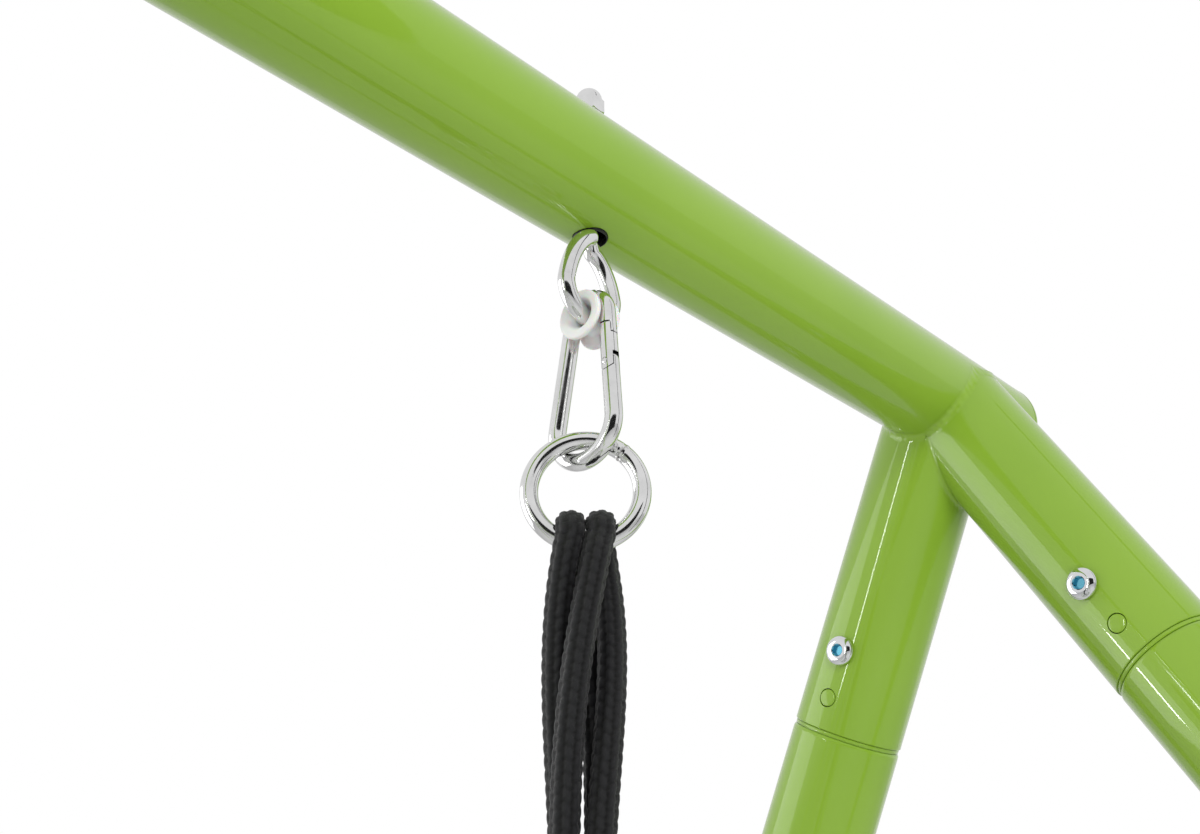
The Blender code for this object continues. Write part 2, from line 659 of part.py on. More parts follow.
def make_hook(name, end, hanger, gate):
    """Snap hook with a flattened nose and tongue, its gate and the gate's pin."""
    x = end * (EYE_X + HANGER_SHIFT_X)
    hook = bent_wire(f"snap_hook_{name}", hook_route(x), WIRE_RADIUS, ZINC, hanger.location)
    frame = gate_axes(x)
    wide = 1.5 * WIRE_RADIUS
    lip = GATE_PIN_DROP - GATE_LIP_DROP
    nose_low = GATE_PIN_DROP - NOSE_DROP - CUT_PAST
    shoulder = WIRE_RADIUS + GAP
    for sign in (-1, 1):
        side = "a" if sign < 0 else "b"
        near = sorted((sign * NOSE_HALF_WIDTH, sign * wide))
        combine(hook, block_cutter(f"nose_{name}_{side}", frame, (near[0], -wide, nose_low),
                                   (near[1], wide, lip + 0.5 * CUT_PAST)))
        near = sorted((sign * TONGUE_HALF_WIDTH, sign * wide))
        combine(hook, block_cutter(f"tongue_{name}_{side}", frame, (near[0], -wide, -shoulder),
                                   (near[1], wide, wide)))
    cross = frame @ Matrix.Rotation(math.radians(90.0), 4, "Y")
    pin_hole = rod_cutter(f"gate_pin_hole_{name}", cross, GATE_PIN_RADIUS + GAP, -wide, wide, SCREW_SIDES)
    combine(hook, pin_hole)
    top = GATE_PIN_DROP - GATE_TOP_DROP
    bar = primitive(f"hook_gate_{name}", lambda shape: rod(shape, WIRE_RADIUS, 0.0, lip, 16), frame, ZINC)
    heel_half = 0.9 * GATE_HALF_WIDTH
    heel = rod_cutter(f"gate_heel_{name}", cross, WIRE_RADIUS - 2.0 * MERGE, -heel_half, heel_half, 16)
    combine(bar, heel, "UNION")
    for sign in (-1, 1):
        side = "a" if sign < 0 else "b"
        near = sorted((sign * GATE_HALF_WIDTH, sign * wide))
        combine(bar, block_cutter(f"gate_flat_{name}_{side}", frame, (near[0], -wide, -wide),
                                  (near[1], wide, lip + CUT_PAST)))
    nose_slot = NOSE_HALF_WIDTH + GAP
    combine(bar, block_cutter(f"gate_slot_{name}", frame, (-nose_slot, -wide, top),
                              (nose_slot, wide, lip + CUT_PAST)))
    tongue_slot = TONGUE_HALF_WIDTH + GAP
    combine(bar, block_cutter(f"gate_fork_{name}", frame, (-tongue_slot, -wide, -wide),
                              (tongue_slot, wide, WIRE_RADIUS + FORK_CLEARANCE)))
    combine(bar, pin_hole)
    pin_profile = [(0.0, GATE_HALF_WIDTH), (GATE_PIN_RADIUS, GATE_HALF_WIDTH),
                   (GATE_PIN_RADIUS, -GATE_HALF_WIDTH), (0.0, -GATE_HALF_WIDTH)]
    rivet = turned(f"gate_pin_{name}", pin_profile, cross, ZINC, SCREW_SIDES, closed=False)
    ride(hook, hanger)
    ride(rivet, hanger)
    ride(bar, gate)


def make_bush(name, end, hanger):
    """Nylon spool bush: a groove for the hook outside, a bell-mouthed bore for the eye inside."""
    down = list(BUSH_OUTSIDE) + [(radius, -height) for radius, height in reversed(BUSH_OUTSIDE[:-1])]
    up = [(radius, -height) for radius, height in BUSH_BORE] + list(reversed(BUSH_BORE[:-1]))
    centre = (end * (EYE_X + HANGER_SHIFT_X), 0.0, BAR_HEIGHT - PIVOT_DROP)
    bush = turned(f"spool_bush_{name}", down + up, axes(centre, (1.0, 0.0, 0.0), (0.0, 0.0, 1.0)),
                  WHITE_NYLON, TUBE_SIDES)
    ride(bush, hanger)


def ring_axes(end):
    """Centre of a ring, its level direction and its normal, which points away from the front."""
    centre = Vector((end * (EYE_X + HANGER_SHIFT_X), HOOK_BOW_Y, BAR_HEIGHT - RING_DROP))
    level = Vector((end * math.sin(RING_TURN), -math.cos(RING_TURN), 0.0))
    normal = Vector((end * math.cos(RING_TURN), math.sin(RING_TURN), 0.0))
    return centre, level, normal


def torus(name, matrix, major, minor, sides, collection="nest_swing_set"):
    """A ring of round section; sides are its steps around the ring and around the section."""
    bpy.ops.mesh.primitive_torus_add(major_segments=sides[0], minor_segments=sides[1], major_radius=major,
                                     minor_radius=minor)
    ring = bpy.context.object
    ring.name = name
    for old in list(ring.users_collection):
        old.objects.unlink(ring)
    return place(link(ring, collection), matrix)


def make_ring(name, end, nest):
    """Welded ring."""
    centre, _, normal = ring_axes(end)
    ring = torus(f"ring_{name}", axes(centre, normal, (0.0, 0.0, 1.0)), RING_RADIUS, WIRE_RADIUS, (28, 8))
    ring.data.materials.append(ZINC)
    ride(ring, nest)


def rim_point(end, leg, angle):
    """Point on the padded rim's centre line where a strand is held."""
    turn = math.radians(angle)
    radius = RIM_RADIUS * math.cos(0.5 * RIM_ANGLE)
    return Vector((end * radius * math.cos(turn), leg * radius * math.sin(turn), RIM_HEIGHT))


def hold_axes(end, leg, angle, fan):
    """Matrix at a rope's hold on the rim: local Z runs up the strand, local X away from the nest."""
    rim = rim_point(end, leg, angle)
    radial = (rim.x, rim.y, 0.0)
    return axes(rim, fan - rim, radial)


def loop_route(frame):
    """Points of a rope's end: its tail in the ferrule, round the padded rim, back up past the ferrule."""
    round_pad = PAD_RADIUS + GAP + ROPE_RADIUS
    along = Vector((0.0, 0.0, 1.0)).cross(frame.to_3x3() @ Vector((1.0, 0.0, 0.0))).normalized()
    lean = math.asin(abs(along.dot(frame.to_3x3() @ Vector((0.0, 0.0, 1.0)))))
    reach = math.hypot(FERRULE_START, STRAND_OFFSET)
    leave = math.acos(round_pad / reach) + math.atan2(STRAND_OFFSET, FERRULE_START)
    half_step = 0.5 * (2.0 * math.pi - 2.0 * leave) / LOOP_STEPS
    wide = round_pad / math.cos(half_step)
    tall = wide / math.cos(lean)
    local = [(STRAND_OFFSET, FERRULE_START + FERRULE_LENGTH + ROPE_TAIL), (STRAND_OFFSET, FERRULE_START)]
    for step in range(LOOP_STEPS + 1):
        angle = leave + 2.0 * half_step * step
        local.append((wide * math.sin(angle), tall * math.cos(angle)))
    local += [(-STRAND_OFFSET, FERRULE_START), (-STRAND_OFFSET, FERRULE_START + FERRULE_LENGTH)]
    return [frame @ Vector((x, 0.0, z)) for x, z in local]


def blend(start, start_way, stop, stop_way, count):
    """Points of a cubic curve between two points with given directions, ends left out."""
    reach = (stop - start).length / 3.0
    first = start + start_way * reach
    second = stop - stop_way * reach
    points = []
    for step in range(1, count + 1):
        t = step / (count + 1)
        points.append((1 - t) ** 3 * start + 3 * t * (1 - t) ** 2 * first
                      + 3 * t * t * (1 - t) * second + t ** 3 * stop)
    return points


def sleeve_axis(end):
    """Point on the ground under the middle of a gathering sleeve."""
    centre, level, _ = ring_axes(end)
    return Vector((centre.x, centre.y, 0.0)) + level * SLEEVE_SHIFT


def strand_hold(loop, side):
    """Leg sign and hold angle of a strand.

    loop is 1 for the rope at the front side of its ring and -1 for the other; side is -1 for the strand in
    front of the ring and 1 for the one behind it.
    """
    return -loop, INNER_HOLD if side < 0 else OUTER_HOLD


def strand_fan(end, loop, side):
    """Where a strand leaves its sleeve below, and the point from which it runs straight to the rim."""
    up = Vector((0.0, 0.0, 1.0))
    leg, angle = strand_hold(loop, side)
    bottom = sleeve_axis(end) + up * (BAR_HEIGHT - SLEEVE_BOTTOM_DROP)
    bottom += Vector((end * side * STRAND_OFFSET, leg * STRAND_OFFSET, 0.0))
    rim = rim_point(end, leg, angle)
    return bottom, bottom + (rim - bottom) * FAN_SHARE - up * FAN_DROP


def wire_drop():
    """How far the ring's wire under a rope lies below the ring's centre."""
    return math.sqrt(RING_RADIUS ** 2 - ROPE_OFFSET ** 2)


def crossing(end, loop, side, share):
    """A strand's place between its ring, at share 0, and its sleeve's top, at share 1.

    The four strands turn about each other there, as they hang after the nest was hooked on.
    """
    centre, level, normal = ring_axes(end)
    start_radius = math.hypot(ROPE_OFFSET, ROPE_BEND)
    radius = start_radius + share * (math.sqrt(2.0) * STRAND_OFFSET - start_radius)
    from_angle = math.atan2(side * ROPE_BEND, loop * ROPE_OFFSET)
    to_angle = math.atan2(side, loop)
    angle = from_angle + share * (to_angle - from_angle) + STRAND_CROSSING * math.sin(0.5 * math.pi * share)
    high = centre.z - wire_drop()
    height = high + share * (BAR_HEIGHT - SLEEVE_TOP_DROP - high)
    middle = Vector((centre.x, centre.y, height)) + level * (share * SLEEVE_SHIFT)
    return middle + level * (radius * math.cos(angle)) + normal * (radius * math.sin(angle))


def strand_route(end, loop, side):
    """One strand from its loop on the rim up to where it meets its ring."""
    leg, angle = strand_hold(loop, side)
    axis = sleeve_axis(end)
    top = crossing(end, loop, side, 1.0)
    bottom, fan = strand_fan(end, loop, side)
    points = loop_route(hold_axes(end, leg, angle, fan))
    start = points[-1]
    points += [start + (fan - start) * share for share in (0.5, 1.0)]
    points += blend(fan, (fan - start).normalized(), bottom, Vector((0.0, 0.0, 1.0)), 2)
    radius = math.sqrt(2.0) * STRAND_OFFSET
    first = math.atan2(bottom.y - axis.y, bottom.x - axis.x)
    last = math.atan2(top.y - axis.y, top.x - axis.x)
    swing = (last - first + math.pi) % (2.0 * math.pi) - math.pi
    for step in range(4):
        turn = first + swing * step / 3
        height = bottom.z + (top.z - bottom.z) * step / 3
        points.append(Vector((axis.x + radius * math.cos(turn), axis.y + radius * math.sin(turn), height)))
    return points + [crossing(end, loop, side, 1.0 - step / 6) for step in range(1, 6)]


def rope_route(end, loop):
    """A whole rope: inner hold, sleeve, over the ring, sleeve, outer hold."""
    centre, level, normal = ring_axes(end)
    middle = centre + level * (loop * ROPE_OFFSET) - Vector((0.0, 0.0, wire_drop()))
    over = []
    for step in range(7):
        turn = math.pi * step / 6
        rise = Vector((0.0, 0.0, ROPE_BEND * math.sin(turn)))
        over.append(middle - normal * (ROPE_BEND * math.cos(turn)) + rise)
    return strand_route(end, loop, -1) + over + strand_route(end, loop, 1)[::-1]


def make_ropes(name, end, nest):
    """Two ropes over each ring, with their pressed ferrules, and the sleeve that gathers the strands."""
    for label, loop in (("front", 1), ("rear", -1)):
        rope = bent_wire(f"rope_{name}_{label}", rope_route(end, loop), ROPE_RADIUS, BLACK_ROPE,
                         nest.location)
        for side in (-1, 1):
            leg, angle = strand_hold(loop, side)
            _, fan = strand_fan(end, loop, side)
            frame = hold_axes(end, leg, angle, fan)
            ferrule = rod_cutter(f"ferrule_{name}_{label}_{side}", frame, 1.0, FERRULE_START,
                                 FERRULE_START + FERRULE_LENGTH, 16)
            ferrule.data.transform(Matrix.Diagonal((FERRULE_HALF_WIDTH, FERRULE_HALF_DEPTH, 1.0, 1.0)))
            combine(rope, ferrule, "UNION")
        ride(rope, nest)
    axis = sleeve_axis(end)
    inner = SLEEVE_RADIUS - SLEEVE_WALL
    profile = [(SLEEVE_RADIUS, -SLEEVE_TOP_DROP), (SLEEVE_RADIUS, -SLEEVE_BOTTOM_DROP),
               (inner, -SLEEVE_BOTTOM_DROP), (inner, -SLEEVE_TOP_DROP)]
    sleeve = turned(f"rope_sleeve_{name}", profile, Matrix.Translation((axis.x, axis.y, BAR_HEIGHT)),
                    BLACK_PLASTIC, TUBE_SIDES)
    ride(sleeve, nest)


def make_nest(nest):
    """Rim tube with a drain hole, slit foam pad round it, and the net as a shallow notched dish."""
    level = Matrix.Translation((0.0, 0.0, RIM_HEIGHT)) @ Matrix.Rotation(0.5 * RIM_ANGLE, 4, "Z")
    rim = torus("nest_rim", level, RIM_RADIUS, RIM_TUBE_RADIUS, (RIM_SIDES, 8))
    rim.data.materials.append(RIM_STEEL)
    bore = torus("rim_bore", level, RIM_RADIUS, RIM_TUBE_RADIUS - RIM_TUBE_WALL, (RIM_SIDES, 6), "cutters")
    combine(rim, as_cutter(bore))
    drain = rod_cutter("drain_hole", Matrix.Translation((0.0, -RIM_RADIUS, RIM_HEIGHT)), DRAIN_HOLE_RADIUS,
                       -2.0 * RIM_TUBE_RADIUS, 0.0, SCREW_SIDES)
    combine(rim, drain)
    pad_section = []
    hole = (RIM_TUBE_RADIUS + GAP) / math.cos(math.pi / PAD_BORE_SIDES)
    for radius, count in ((PAD_RADIUS, PAD_SIDES), (hole, PAD_BORE_SIDES)):
        slit = math.asin(0.5 * PAD_SLIT / radius)
        stops = [slit] + [2.0 * math.pi * k / count for k in range(1, count)] + [2.0 * math.pi - slit]
        for stop in stops if radius == PAD_RADIUS else stops[::-1]:
            angle = -0.5 * math.pi - stop
            pad_section.append((RIM_RADIUS + radius * math.cos(angle), radius * math.sin(angle)))
    pad = turned("rim_pad", pad_section, level, PAD_FABRIC, RIM_SIDES)
    stations = [NET_EDGE_RADIUS * share for share in NET_STATIONS]
    top = [(r, NET_THICKNESS * 0.5 - NET_SAG * (1.0 - (r / NET_EDGE_RADIUS) ** 2)) for r in stations]
    under = [(r, z - NET_THICKNESS) for r, z in top]
    net = turned("nest_net", top + under[::-1], level, BLACK_ROPE, RIM_SIDES, closed=False)
    for name, end in ENDS.items():
        for leg_name, leg in LEGS.items():
            for number, angle in enumerate((OUTER_HOLD, INNER_HOLD)):
                rim_at = rim_point(end, leg, angle)
                frame = axes((0.0, 0.0, RIM_HEIGHT), (0.0, 0.0, 1.0), (rim_at.x, rim_at.y, 0.0))
                notch = block_cutter(f"net_notch_{name}_{leg_name}_{number}", frame,
                                     (NOTCH_RADIUS, -NOTCH_HALF_WIDTH, -NOTCH_HALF_HEIGHT),
                                     (RIM_RADIUS, NOTCH_HALF_WIDTH, NOTCH_HALF_HEIGHT))
                combine(net, notch)
    for thing in (rim, pad, net):
        ride(thing, nest)


def build():
    """Make every piece."""
    make_crossbar()
    make_legs(list(make_sockets()))
    make_buttons()
    make_eye_bolts()
    nest = pivot("nest_pivot", (0.0, HOOK_BOW_Y, BAR_HEIGHT - HOOK_BOW_DROP))
    for name, end in ENDS.items():
        x = end * (EYE_X + HANGER_SHIFT_X)
        hanger = pivot(f"hanger_{name}_pivot", (x, 0.0, BAR_HEIGHT - PIVOT_DROP))
        gate = pivot(f"gate_{name}_pivot", gate_axes(x).translation)
        make_bush(name, end, hanger)
        make_hook(name, end, hanger, gate)
        make_ring(name, end, nest)
        make_ropes(name, end, nest)
    make_nest(nest)
    for thing in bpy.data.collections["nest_swing_set"].objects:
        finish_surface(thing)


build()
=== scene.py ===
import math

import bmesh
import bpy
import numpy as np
from mathutils import Matrix, Vector


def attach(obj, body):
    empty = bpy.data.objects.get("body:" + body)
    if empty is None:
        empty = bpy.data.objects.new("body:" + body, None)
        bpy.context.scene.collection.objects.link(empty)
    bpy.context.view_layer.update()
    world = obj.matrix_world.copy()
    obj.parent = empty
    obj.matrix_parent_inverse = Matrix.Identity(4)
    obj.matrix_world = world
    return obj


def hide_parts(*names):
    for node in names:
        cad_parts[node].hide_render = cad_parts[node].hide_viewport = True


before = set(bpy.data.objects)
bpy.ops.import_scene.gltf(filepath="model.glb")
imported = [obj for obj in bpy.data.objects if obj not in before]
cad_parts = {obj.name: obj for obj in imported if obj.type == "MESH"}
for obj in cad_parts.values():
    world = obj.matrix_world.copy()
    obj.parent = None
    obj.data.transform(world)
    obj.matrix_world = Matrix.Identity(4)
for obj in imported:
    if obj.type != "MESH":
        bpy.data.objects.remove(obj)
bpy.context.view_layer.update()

# Crossbar and end caps, in metres; the same sizes as the frame's
BAR_HEIGHT = 1.950
BAR_RADIUS = 0.0300
BAR_WALL = 0.0020
BAR_TIP_X = 0.8428
CAP_THICKNESS = 0.0060

# Legs; distances along a leg start at the crossbar's axis
LEG_NODE_X = 0.7832
LEG_LEAN_X = 0.1011
LEG_SPREAD_Y = 0.5629
LEG_RADIUS = 0.0315
LEG_WALL = 0.0020
SCREW_TURN = math.radians(-4.6)
SOCKET_START = 0.0080
SOCKET_END = 0.2034
SOCKET_SCREW = 0.1573
SNAP_BUTTON = 0.1852
UPPER_NECK_START = 0.0950
UPPER_END = 1.1900
LOWER_NECK_START = 1.0800
LEG_JOINT_SCREW = 1.1350
LEG_END_HEIGHT = 0.0270
SWAGE = 0.0024
COLLAR_DEPTH = 0.0007
COLLAR_LENGTH = 0.0021
GROOVE = 0.0003
WELD_LEG = 0.0042
WELD_PROUD = 0.00004

# Feet
FOOT_TOP = 2.1300
FOOT_RADIUS = 0.0365
FOOT_PLATE_RADIUS = 0.0600
FOOT_PLATE = 0.0080

# Bolts, nuts and buttons
SCREW_RADIUS = 0.0040
SCREW_HEAD_RADIUS = 0.0087
SCREW_HEAD = 0.0042
SCREW_TAIL = 0.0085
SCREW_CROWN_RADIUS = 0.0046
HEX_KEY_RADIUS = 0.0035
HEX_KEY_DEPTH = 0.0026
NUT_CORNER_RADIUS = 0.0075
NUT_HEX = 0.0080
NUT_DOME_RADIUS = 0.0063
NUT_DOME = 0.0070
BUTTON_RADIUS = 0.0049
BUTTON_HOLE = 0.0054
BUTTON_FLANGE_RADIUS = 0.0062
BUTTON_FLANGE = 0.0012
BUTTON_DEPTH = 0.0032

# Hanger; heights are measured down from the crossbar's axis
EYE_X = 0.475
HANGER_SHIFT_X = -0.0006
WIRE_RADIUS = 0.0040
EYE_HALF_WIDTH = 0.0150
EYE_TOP_DROP = 0.0340
EYE_SIDE_DROP = 0.0596
SHANK_RISE = 0.0500
EYE_TIP_ANGLE = 0.12
EYE_TIP_Y = 0.0044
EYE_NECK_ANGLE = 0.35
EYE_NECK_Y = 0.0032
HOLE_RADIUS = 0.0083
HOLE_SHIFT = (0.0011, 0.0009)
GROMMET_WALL = 0.0005
GROMMET_LIP = 0.0007
GROMMET_DEPTH = 0.0038
WASHER_RADIUS = 0.0085
WASHER = 0.0016
LOCK_NUT = 0.0065
PIVOT_DROP = EYE_SIDE_DROP + EYE_HALF_WIDTH
BUSH_OUTSIDE = ((0.0114, 0.0075), (0.0120, 0.0064), (0.0114, 0.0046), (0.0072, 0.0033), (0.0060, 0.0))
BUSH_BORE = ((0.0076, 0.0075), (0.0051, 0.0038), (0.0044, 0.0))
HOOK_TOP_RADIUS = 0.0103
HOOK_BOW_RADIUS = 0.0168
HOOK_BOW_Y = 0.0032
HOOK_BOW_DROP = 0.1264
NOSE_DROP = 0.0865
GATE_TOP_DROP = 0.0873
GATE_LIP_DROP = 0.0820
GATE_PIN_DROP = 0.1015
GATE_HALF_WIDTH = 0.0039
GATE_PIN_RADIUS = 0.0015
FORK_CLEARANCE = 0.0006
TONGUE_HALF_WIDTH = 0.0017
TONGUE_RISE = 0.0028
NOSE_HALF_WIDTH = 0.0019
RING_RADIUS = 0.0240
RING_DROP = 0.1577
RING_TURN = 0.7447
RING_WELD_ANGLE = math.radians(48.0)

# Ropes
ROPE_RADIUS = 0.0060
ROPE_OFFSET = 0.0063
ROPE_BEND = 0.0109
STRAND_OFFSET = 0.00615
SLEEVE_TOP_DROP = 0.3300
SLEEVE_BOTTOM_DROP = 0.4200
SLEEVE_RADIUS = 0.0176
SLEEVE_WALL = 0.0020
SLEEVE_SHIFT = -0.0025
STRAND_CROSSING = math.radians(-90.0)
FAN_SHARE = 0.0700
FAN_DROP = 0.0120
FERRULE_START = 0.0750
FERRULE_LENGTH = 0.0300
FERRULE_HALF_WIDTH = 0.0150
FERRULE_HALF_DEPTH = 0.0085
ROPE_TAIL = 0.0080
ROPE_CORE = 0.00515
ROPE_SIDES = 32
ROPE_STEP_NEAR = 0.0007
ROPE_STEP_FAR = 0.00135
STRAND_HEIGHT = 0.00105
STRAND_COLUMNS = 8
STRAND_PITCH = 0.0054
STRAND_SLANT = math.radians(24.0)
STRAND_HALF_LENGTH = 0.0037
STRAND_HALF_WIDTH = 0.0021

# Nest
RIM_HEIGHT = 0.4500
RIM_RADIUS = 0.5200
RIM_SIDES = 24
RIM_ANGLE = math.radians(360.0 / RIM_SIDES)
PAD_RADIUS = 0.0280
PAD_SLACK = 0.0012
PAD_PINCH = 0.0036
PAD_STATIONS = 1152
PAD_SIDES = 64
PAD_REPEATS = 8
PAD_HELD = 0.0030
CLOTH_FRAMES = 20
CLOTH_CAP = 0.0050
CLOTH_THREAD = 0.0011
STITCHES_IN_ROW = 820
STITCH_LENGTH = 0.0032
STITCH_SINK = 0.0009
STITCH_ROW_ANGLE = 0.20
OUTER_HOLD = 15.0
INNER_HOLD = 45.0
NET_EDGE_RADIUS = 0.4915
NET_SAG = 0.0700
NET_TURN = math.radians(45.0)
NET_SPACING = 0.0580
NET_LINES = 7
NET_CORD_RADIUS = 0.0026
NET_WAVE = 0.0025
NET_LAP_WALK = 0.0057
BORDER_RADIUS = 0.4740
BORDER_CORD_RADIUS = 0.0040
LACING_TURNS = 48
LACING_ANGLE = math.tau / LACING_TURNS
LACING_RADIUS = 0.0020
LACING_WALK = 0.06

GAP = 0.0003
TUBE_SIDES = 96
WIRE_SIDES = 40
WIRE_STEP = 0.0008
WELD_STATIONS = 720
RING_STATIONS = 480

ENDS = {"left": -1, "right": 1}
LEGS = {"front": -1, "rear": 1}
X_AXIS = (1.0, 0.0, 0.0)
Y_AXIS = (0.0, 1.0, 0.0)
Z_AXIS = (0.0, 0.0, 1.0)
UP = Vector(Z_AXIS)


def all_legs():
    """The four leg names with their end and leg signs."""
    for end_name, end in ENDS.items():
        for leg_name, leg in LEGS.items():
            yield f"{end_name}_{leg_name}", end, leg


# Camera

CAMERA_AT = (0.0294, -0.4157, 1.5140)
CAMERA_RIGHT = (0.68125, -0.73199, -0.00943)
CAMERA_UP = (-0.32862, -0.31729, 0.88957)
CAMERA_BACK = (-0.65415, -0.60292, -0.45670)
CAMERA_LENS = 47.54


def make_camera():
    """The viewpoint: low on the front side, looking up towards the right end of the crossbar."""
    data = bpy.data.cameras.new("camera")
    data.lens = CAMERA_LENS
    data.sensor_width = 36.0
    data.clip_start = 0.01
    camera = bpy.data.objects.new("camera", data)
    bpy.context.scene.collection.objects.link(camera)
    turn = Matrix((CAMERA_RIGHT, CAMERA_UP, CAMERA_BACK)).transposed().to_4x4()
    camera.matrix_world = Matrix.Translation(CAMERA_AT) @ turn
    bpy.context.scene.camera = camera


make_camera()


# Finishes


def new_finish(name, colour, roughness, metallic=0.0, **constants):
    """A Principled BSDF whose constants are set on its own sockets."""
    made = bpy.data.materials.new(name)
    made.use_nodes = True
    shader = made.node_tree.nodes["Principled BSDF"]
    shader.inputs["Base Color"].default_value = (*colour, 1.0)
    shader.inputs["Roughness"].default_value = roughness
    shader.inputs["Metallic"].default_value = metallic
    for label, value in constants.items():
        shader.inputs[label.replace("_", " ")].default_value = value
    return made


def node(made, kind, **settings):
    """A new node in a material, with its settings."""
    fresh = made.node_tree.nodes.new(kind)
    for label, value in settings.items():
        setattr(fresh, label, value)
    return fresh


def wire(made, source, target):
    """Join an output to an input."""
    made.node_tree.links.new(source, target)


def stretched(made, place, scale):
    """A place output, stretched along the axes."""
    stretch = node(made, "ShaderNodeMapping")
    stretch.inputs["Scale"].default_value = scale
    wire(made, place, stretch.inputs["Vector"])
    return stretch.outputs["Vector"]


def object_place(made, scale=(1.0, 1.0, 1.0)):
    """Object coordinates, stretched along the axes."""
    return stretched(made, node(made, "ShaderNodeTexCoord").outputs["Object"], scale)


def surface_place(made, layer, scale):
    """A piece's own UV layer, stretched."""
    return stretched(made, node(made, "ShaderNodeUVMap", uv_map=layer).outputs["UV"], scale)


def noise(made, place, scale, detail=3.0, roughness=0.5):
    """Noise of a given scale at a place."""
    made_noise = node(made, "ShaderNodeTexNoise")
    made_noise.inputs["Scale"].default_value = scale
    made_noise.inputs["Detail"].default_value = detail
    made_noise.inputs["Roughness"].default_value = roughness
    wire(made, place, made_noise.inputs["Vector"])
    return made_noise.outputs["Fac"]


def spread(made, value, low, high, to_low=0.0, to_high=1.0):
    """A value taken from one range to another and held there."""
    ranged = node(made, "ShaderNodeMapRange")
    for label, number in (("From Min", low), ("From Max", high), ("To Min", to_low), ("To Max", to_high)):
        ranged.inputs[label].default_value = number
    wire(made, value, ranged.inputs["Value"])
    return ranged.outputs["Result"]


def blend_colours(made, share, first, second):
    """A colour between two, by share; each is a colour or an output."""
    mix = node(made, "ShaderNodeMix", data_type="RGBA")
    wire(made, share, mix.inputs["Factor"])
    for label, colour in (("A", first), ("B", second)):
        target = [s for s in mix.inputs if s.name == label and s.type == "RGBA"][0]
        if isinstance(colour, tuple):
            target.default_value = (*colour, 1.0)
        else:
            wire(made, colour, target)
    return [s for s in mix.outputs if s.type == "RGBA"][0]


def add_bump(made, height, distance, strength=1.0, under=None):
    """A bump of a height output, over another one."""
    bump = node(made, "ShaderNodeBump")
    bump.inputs["Distance"].default_value = distance
    bump.inputs["Strength"].default_value = strength
    wire(made, height, bump.inputs["Height"])
    if under:
        wire(made, under, bump.inputs["Normal"])
    return bump.outputs["Normal"]


def calculate(made, operation, first, second=None):
    """The result of a maths node on outputs or numbers."""
    maths = node(made, "ShaderNodeMath", operation=operation)
    for target, value in zip(maths.inputs, (first, second)):
        if value is None:
            continue
        if isinstance(value, (int, float)):
            target.default_value = value
        else:
            wire(made, value, target)
    return maths.outputs[0]


def shader_input(made, label):
    """A socket of a material's shader."""
    return made.node_tree.nodes["Principled BSDF"].inputs[label]


def feed(made, label, value):
    """Join an output to an input of a material's shader."""
    wire(made, value, shader_input(made, label))


def own_place(made):
    """The two coordinates of a piece's own UV layer: round or across it, and along it."""
    place = node(made, "ShaderNodeUVMap", uv_map="UVMap")
    split = node(made, "ShaderNodeSeparateXYZ")
    wire(made, place.outputs["UV"], split.inputs["Vector"])
    return split.outputs["X"], split.outputs["Y"]


def powder_coat(name, tint=1.0):
    """Glossy lime powder coat with fine orange peel and a little cloudiness."""
    light = tuple(tint * c for c in (0.258, 0.436, 0.036))
    deep = tuple(tint * c for c in (0.240, 0.416, 0.031))
    made = new_finish(name, light, 0.34, Coat_Weight=1.0, Coat_Roughness=0.05, Coat_IOR=1.45,
                      Specular_IOR_Level=0.15)
    place = object_place(made)
    cloud = noise(made, place, 9.0, 2.0)
    feed(made, "Base Color", blend_colours(made, spread(made, cloud, 0.35, 0.65), deep, light))
    peel = noise(made, place, 420.0, 2.0, 0.4)
    sag = noise(made, place, 60.0, 1.0)
    lift = add_bump(made, sag, 0.0010, 0.03)
    bumped = add_bump(made, peel, 0.0002, 0.03, lift)
    feed(made, "Normal", bumped)
    feed(made, "Coat Normal", bumped)
    return made


def bright_metal(name, colour, roughness, grain=0.05):
    """Plated metal with faint cloudiness and fine scratches."""
    dull = tuple(0.86 * c for c in colour)
    made = new_finish(name, colour, roughness, 1.0)
    place = object_place(made)
    cloud = noise(made, place, 120.0, 4.0, 0.6)
    share = spread(made, cloud, 0.30, 0.75)
    feed(made, "Base Color", blend_colours(made, share, colour, dull))
    feed(made, "Roughness", spread(made, cloud, 0.3, 0.7, 0.7 * roughness, 1.6 * roughness))
    fine = noise(made, object_place(made, (1.0, 1.0, 0.25)), 1400.0, 2.0, 0.6)
    feed(made, "Normal", add_bump(made, fine, 0.0001, grain))
    return made


def grained(name, colour, roughness, scale, depth, **constants):
    """Moulded plastic or rubber with a fine grain."""
    made = new_finish(name, colour, roughness, **constants)
    place = object_place(made)
    grain = noise(made, place, scale, 3.0, 0.6)
    lighter = tuple(min(1.0, 1.5 * c + 0.004) for c in colour)
    wear = noise(made, place, 0.06 * scale, 4.0)
    feed(made, "Base Color", blend_colours(made, spread(made, wear, 0.45, 0.8), colour, lighter))
    feed(made, "Roughness", spread(made, wear, 0.3, 0.7, 0.85 * roughness, min(1.0, 1.15 * roughness)))
    feed(made, "Normal", add_bump(made, grain, depth, 0.4))
    return made


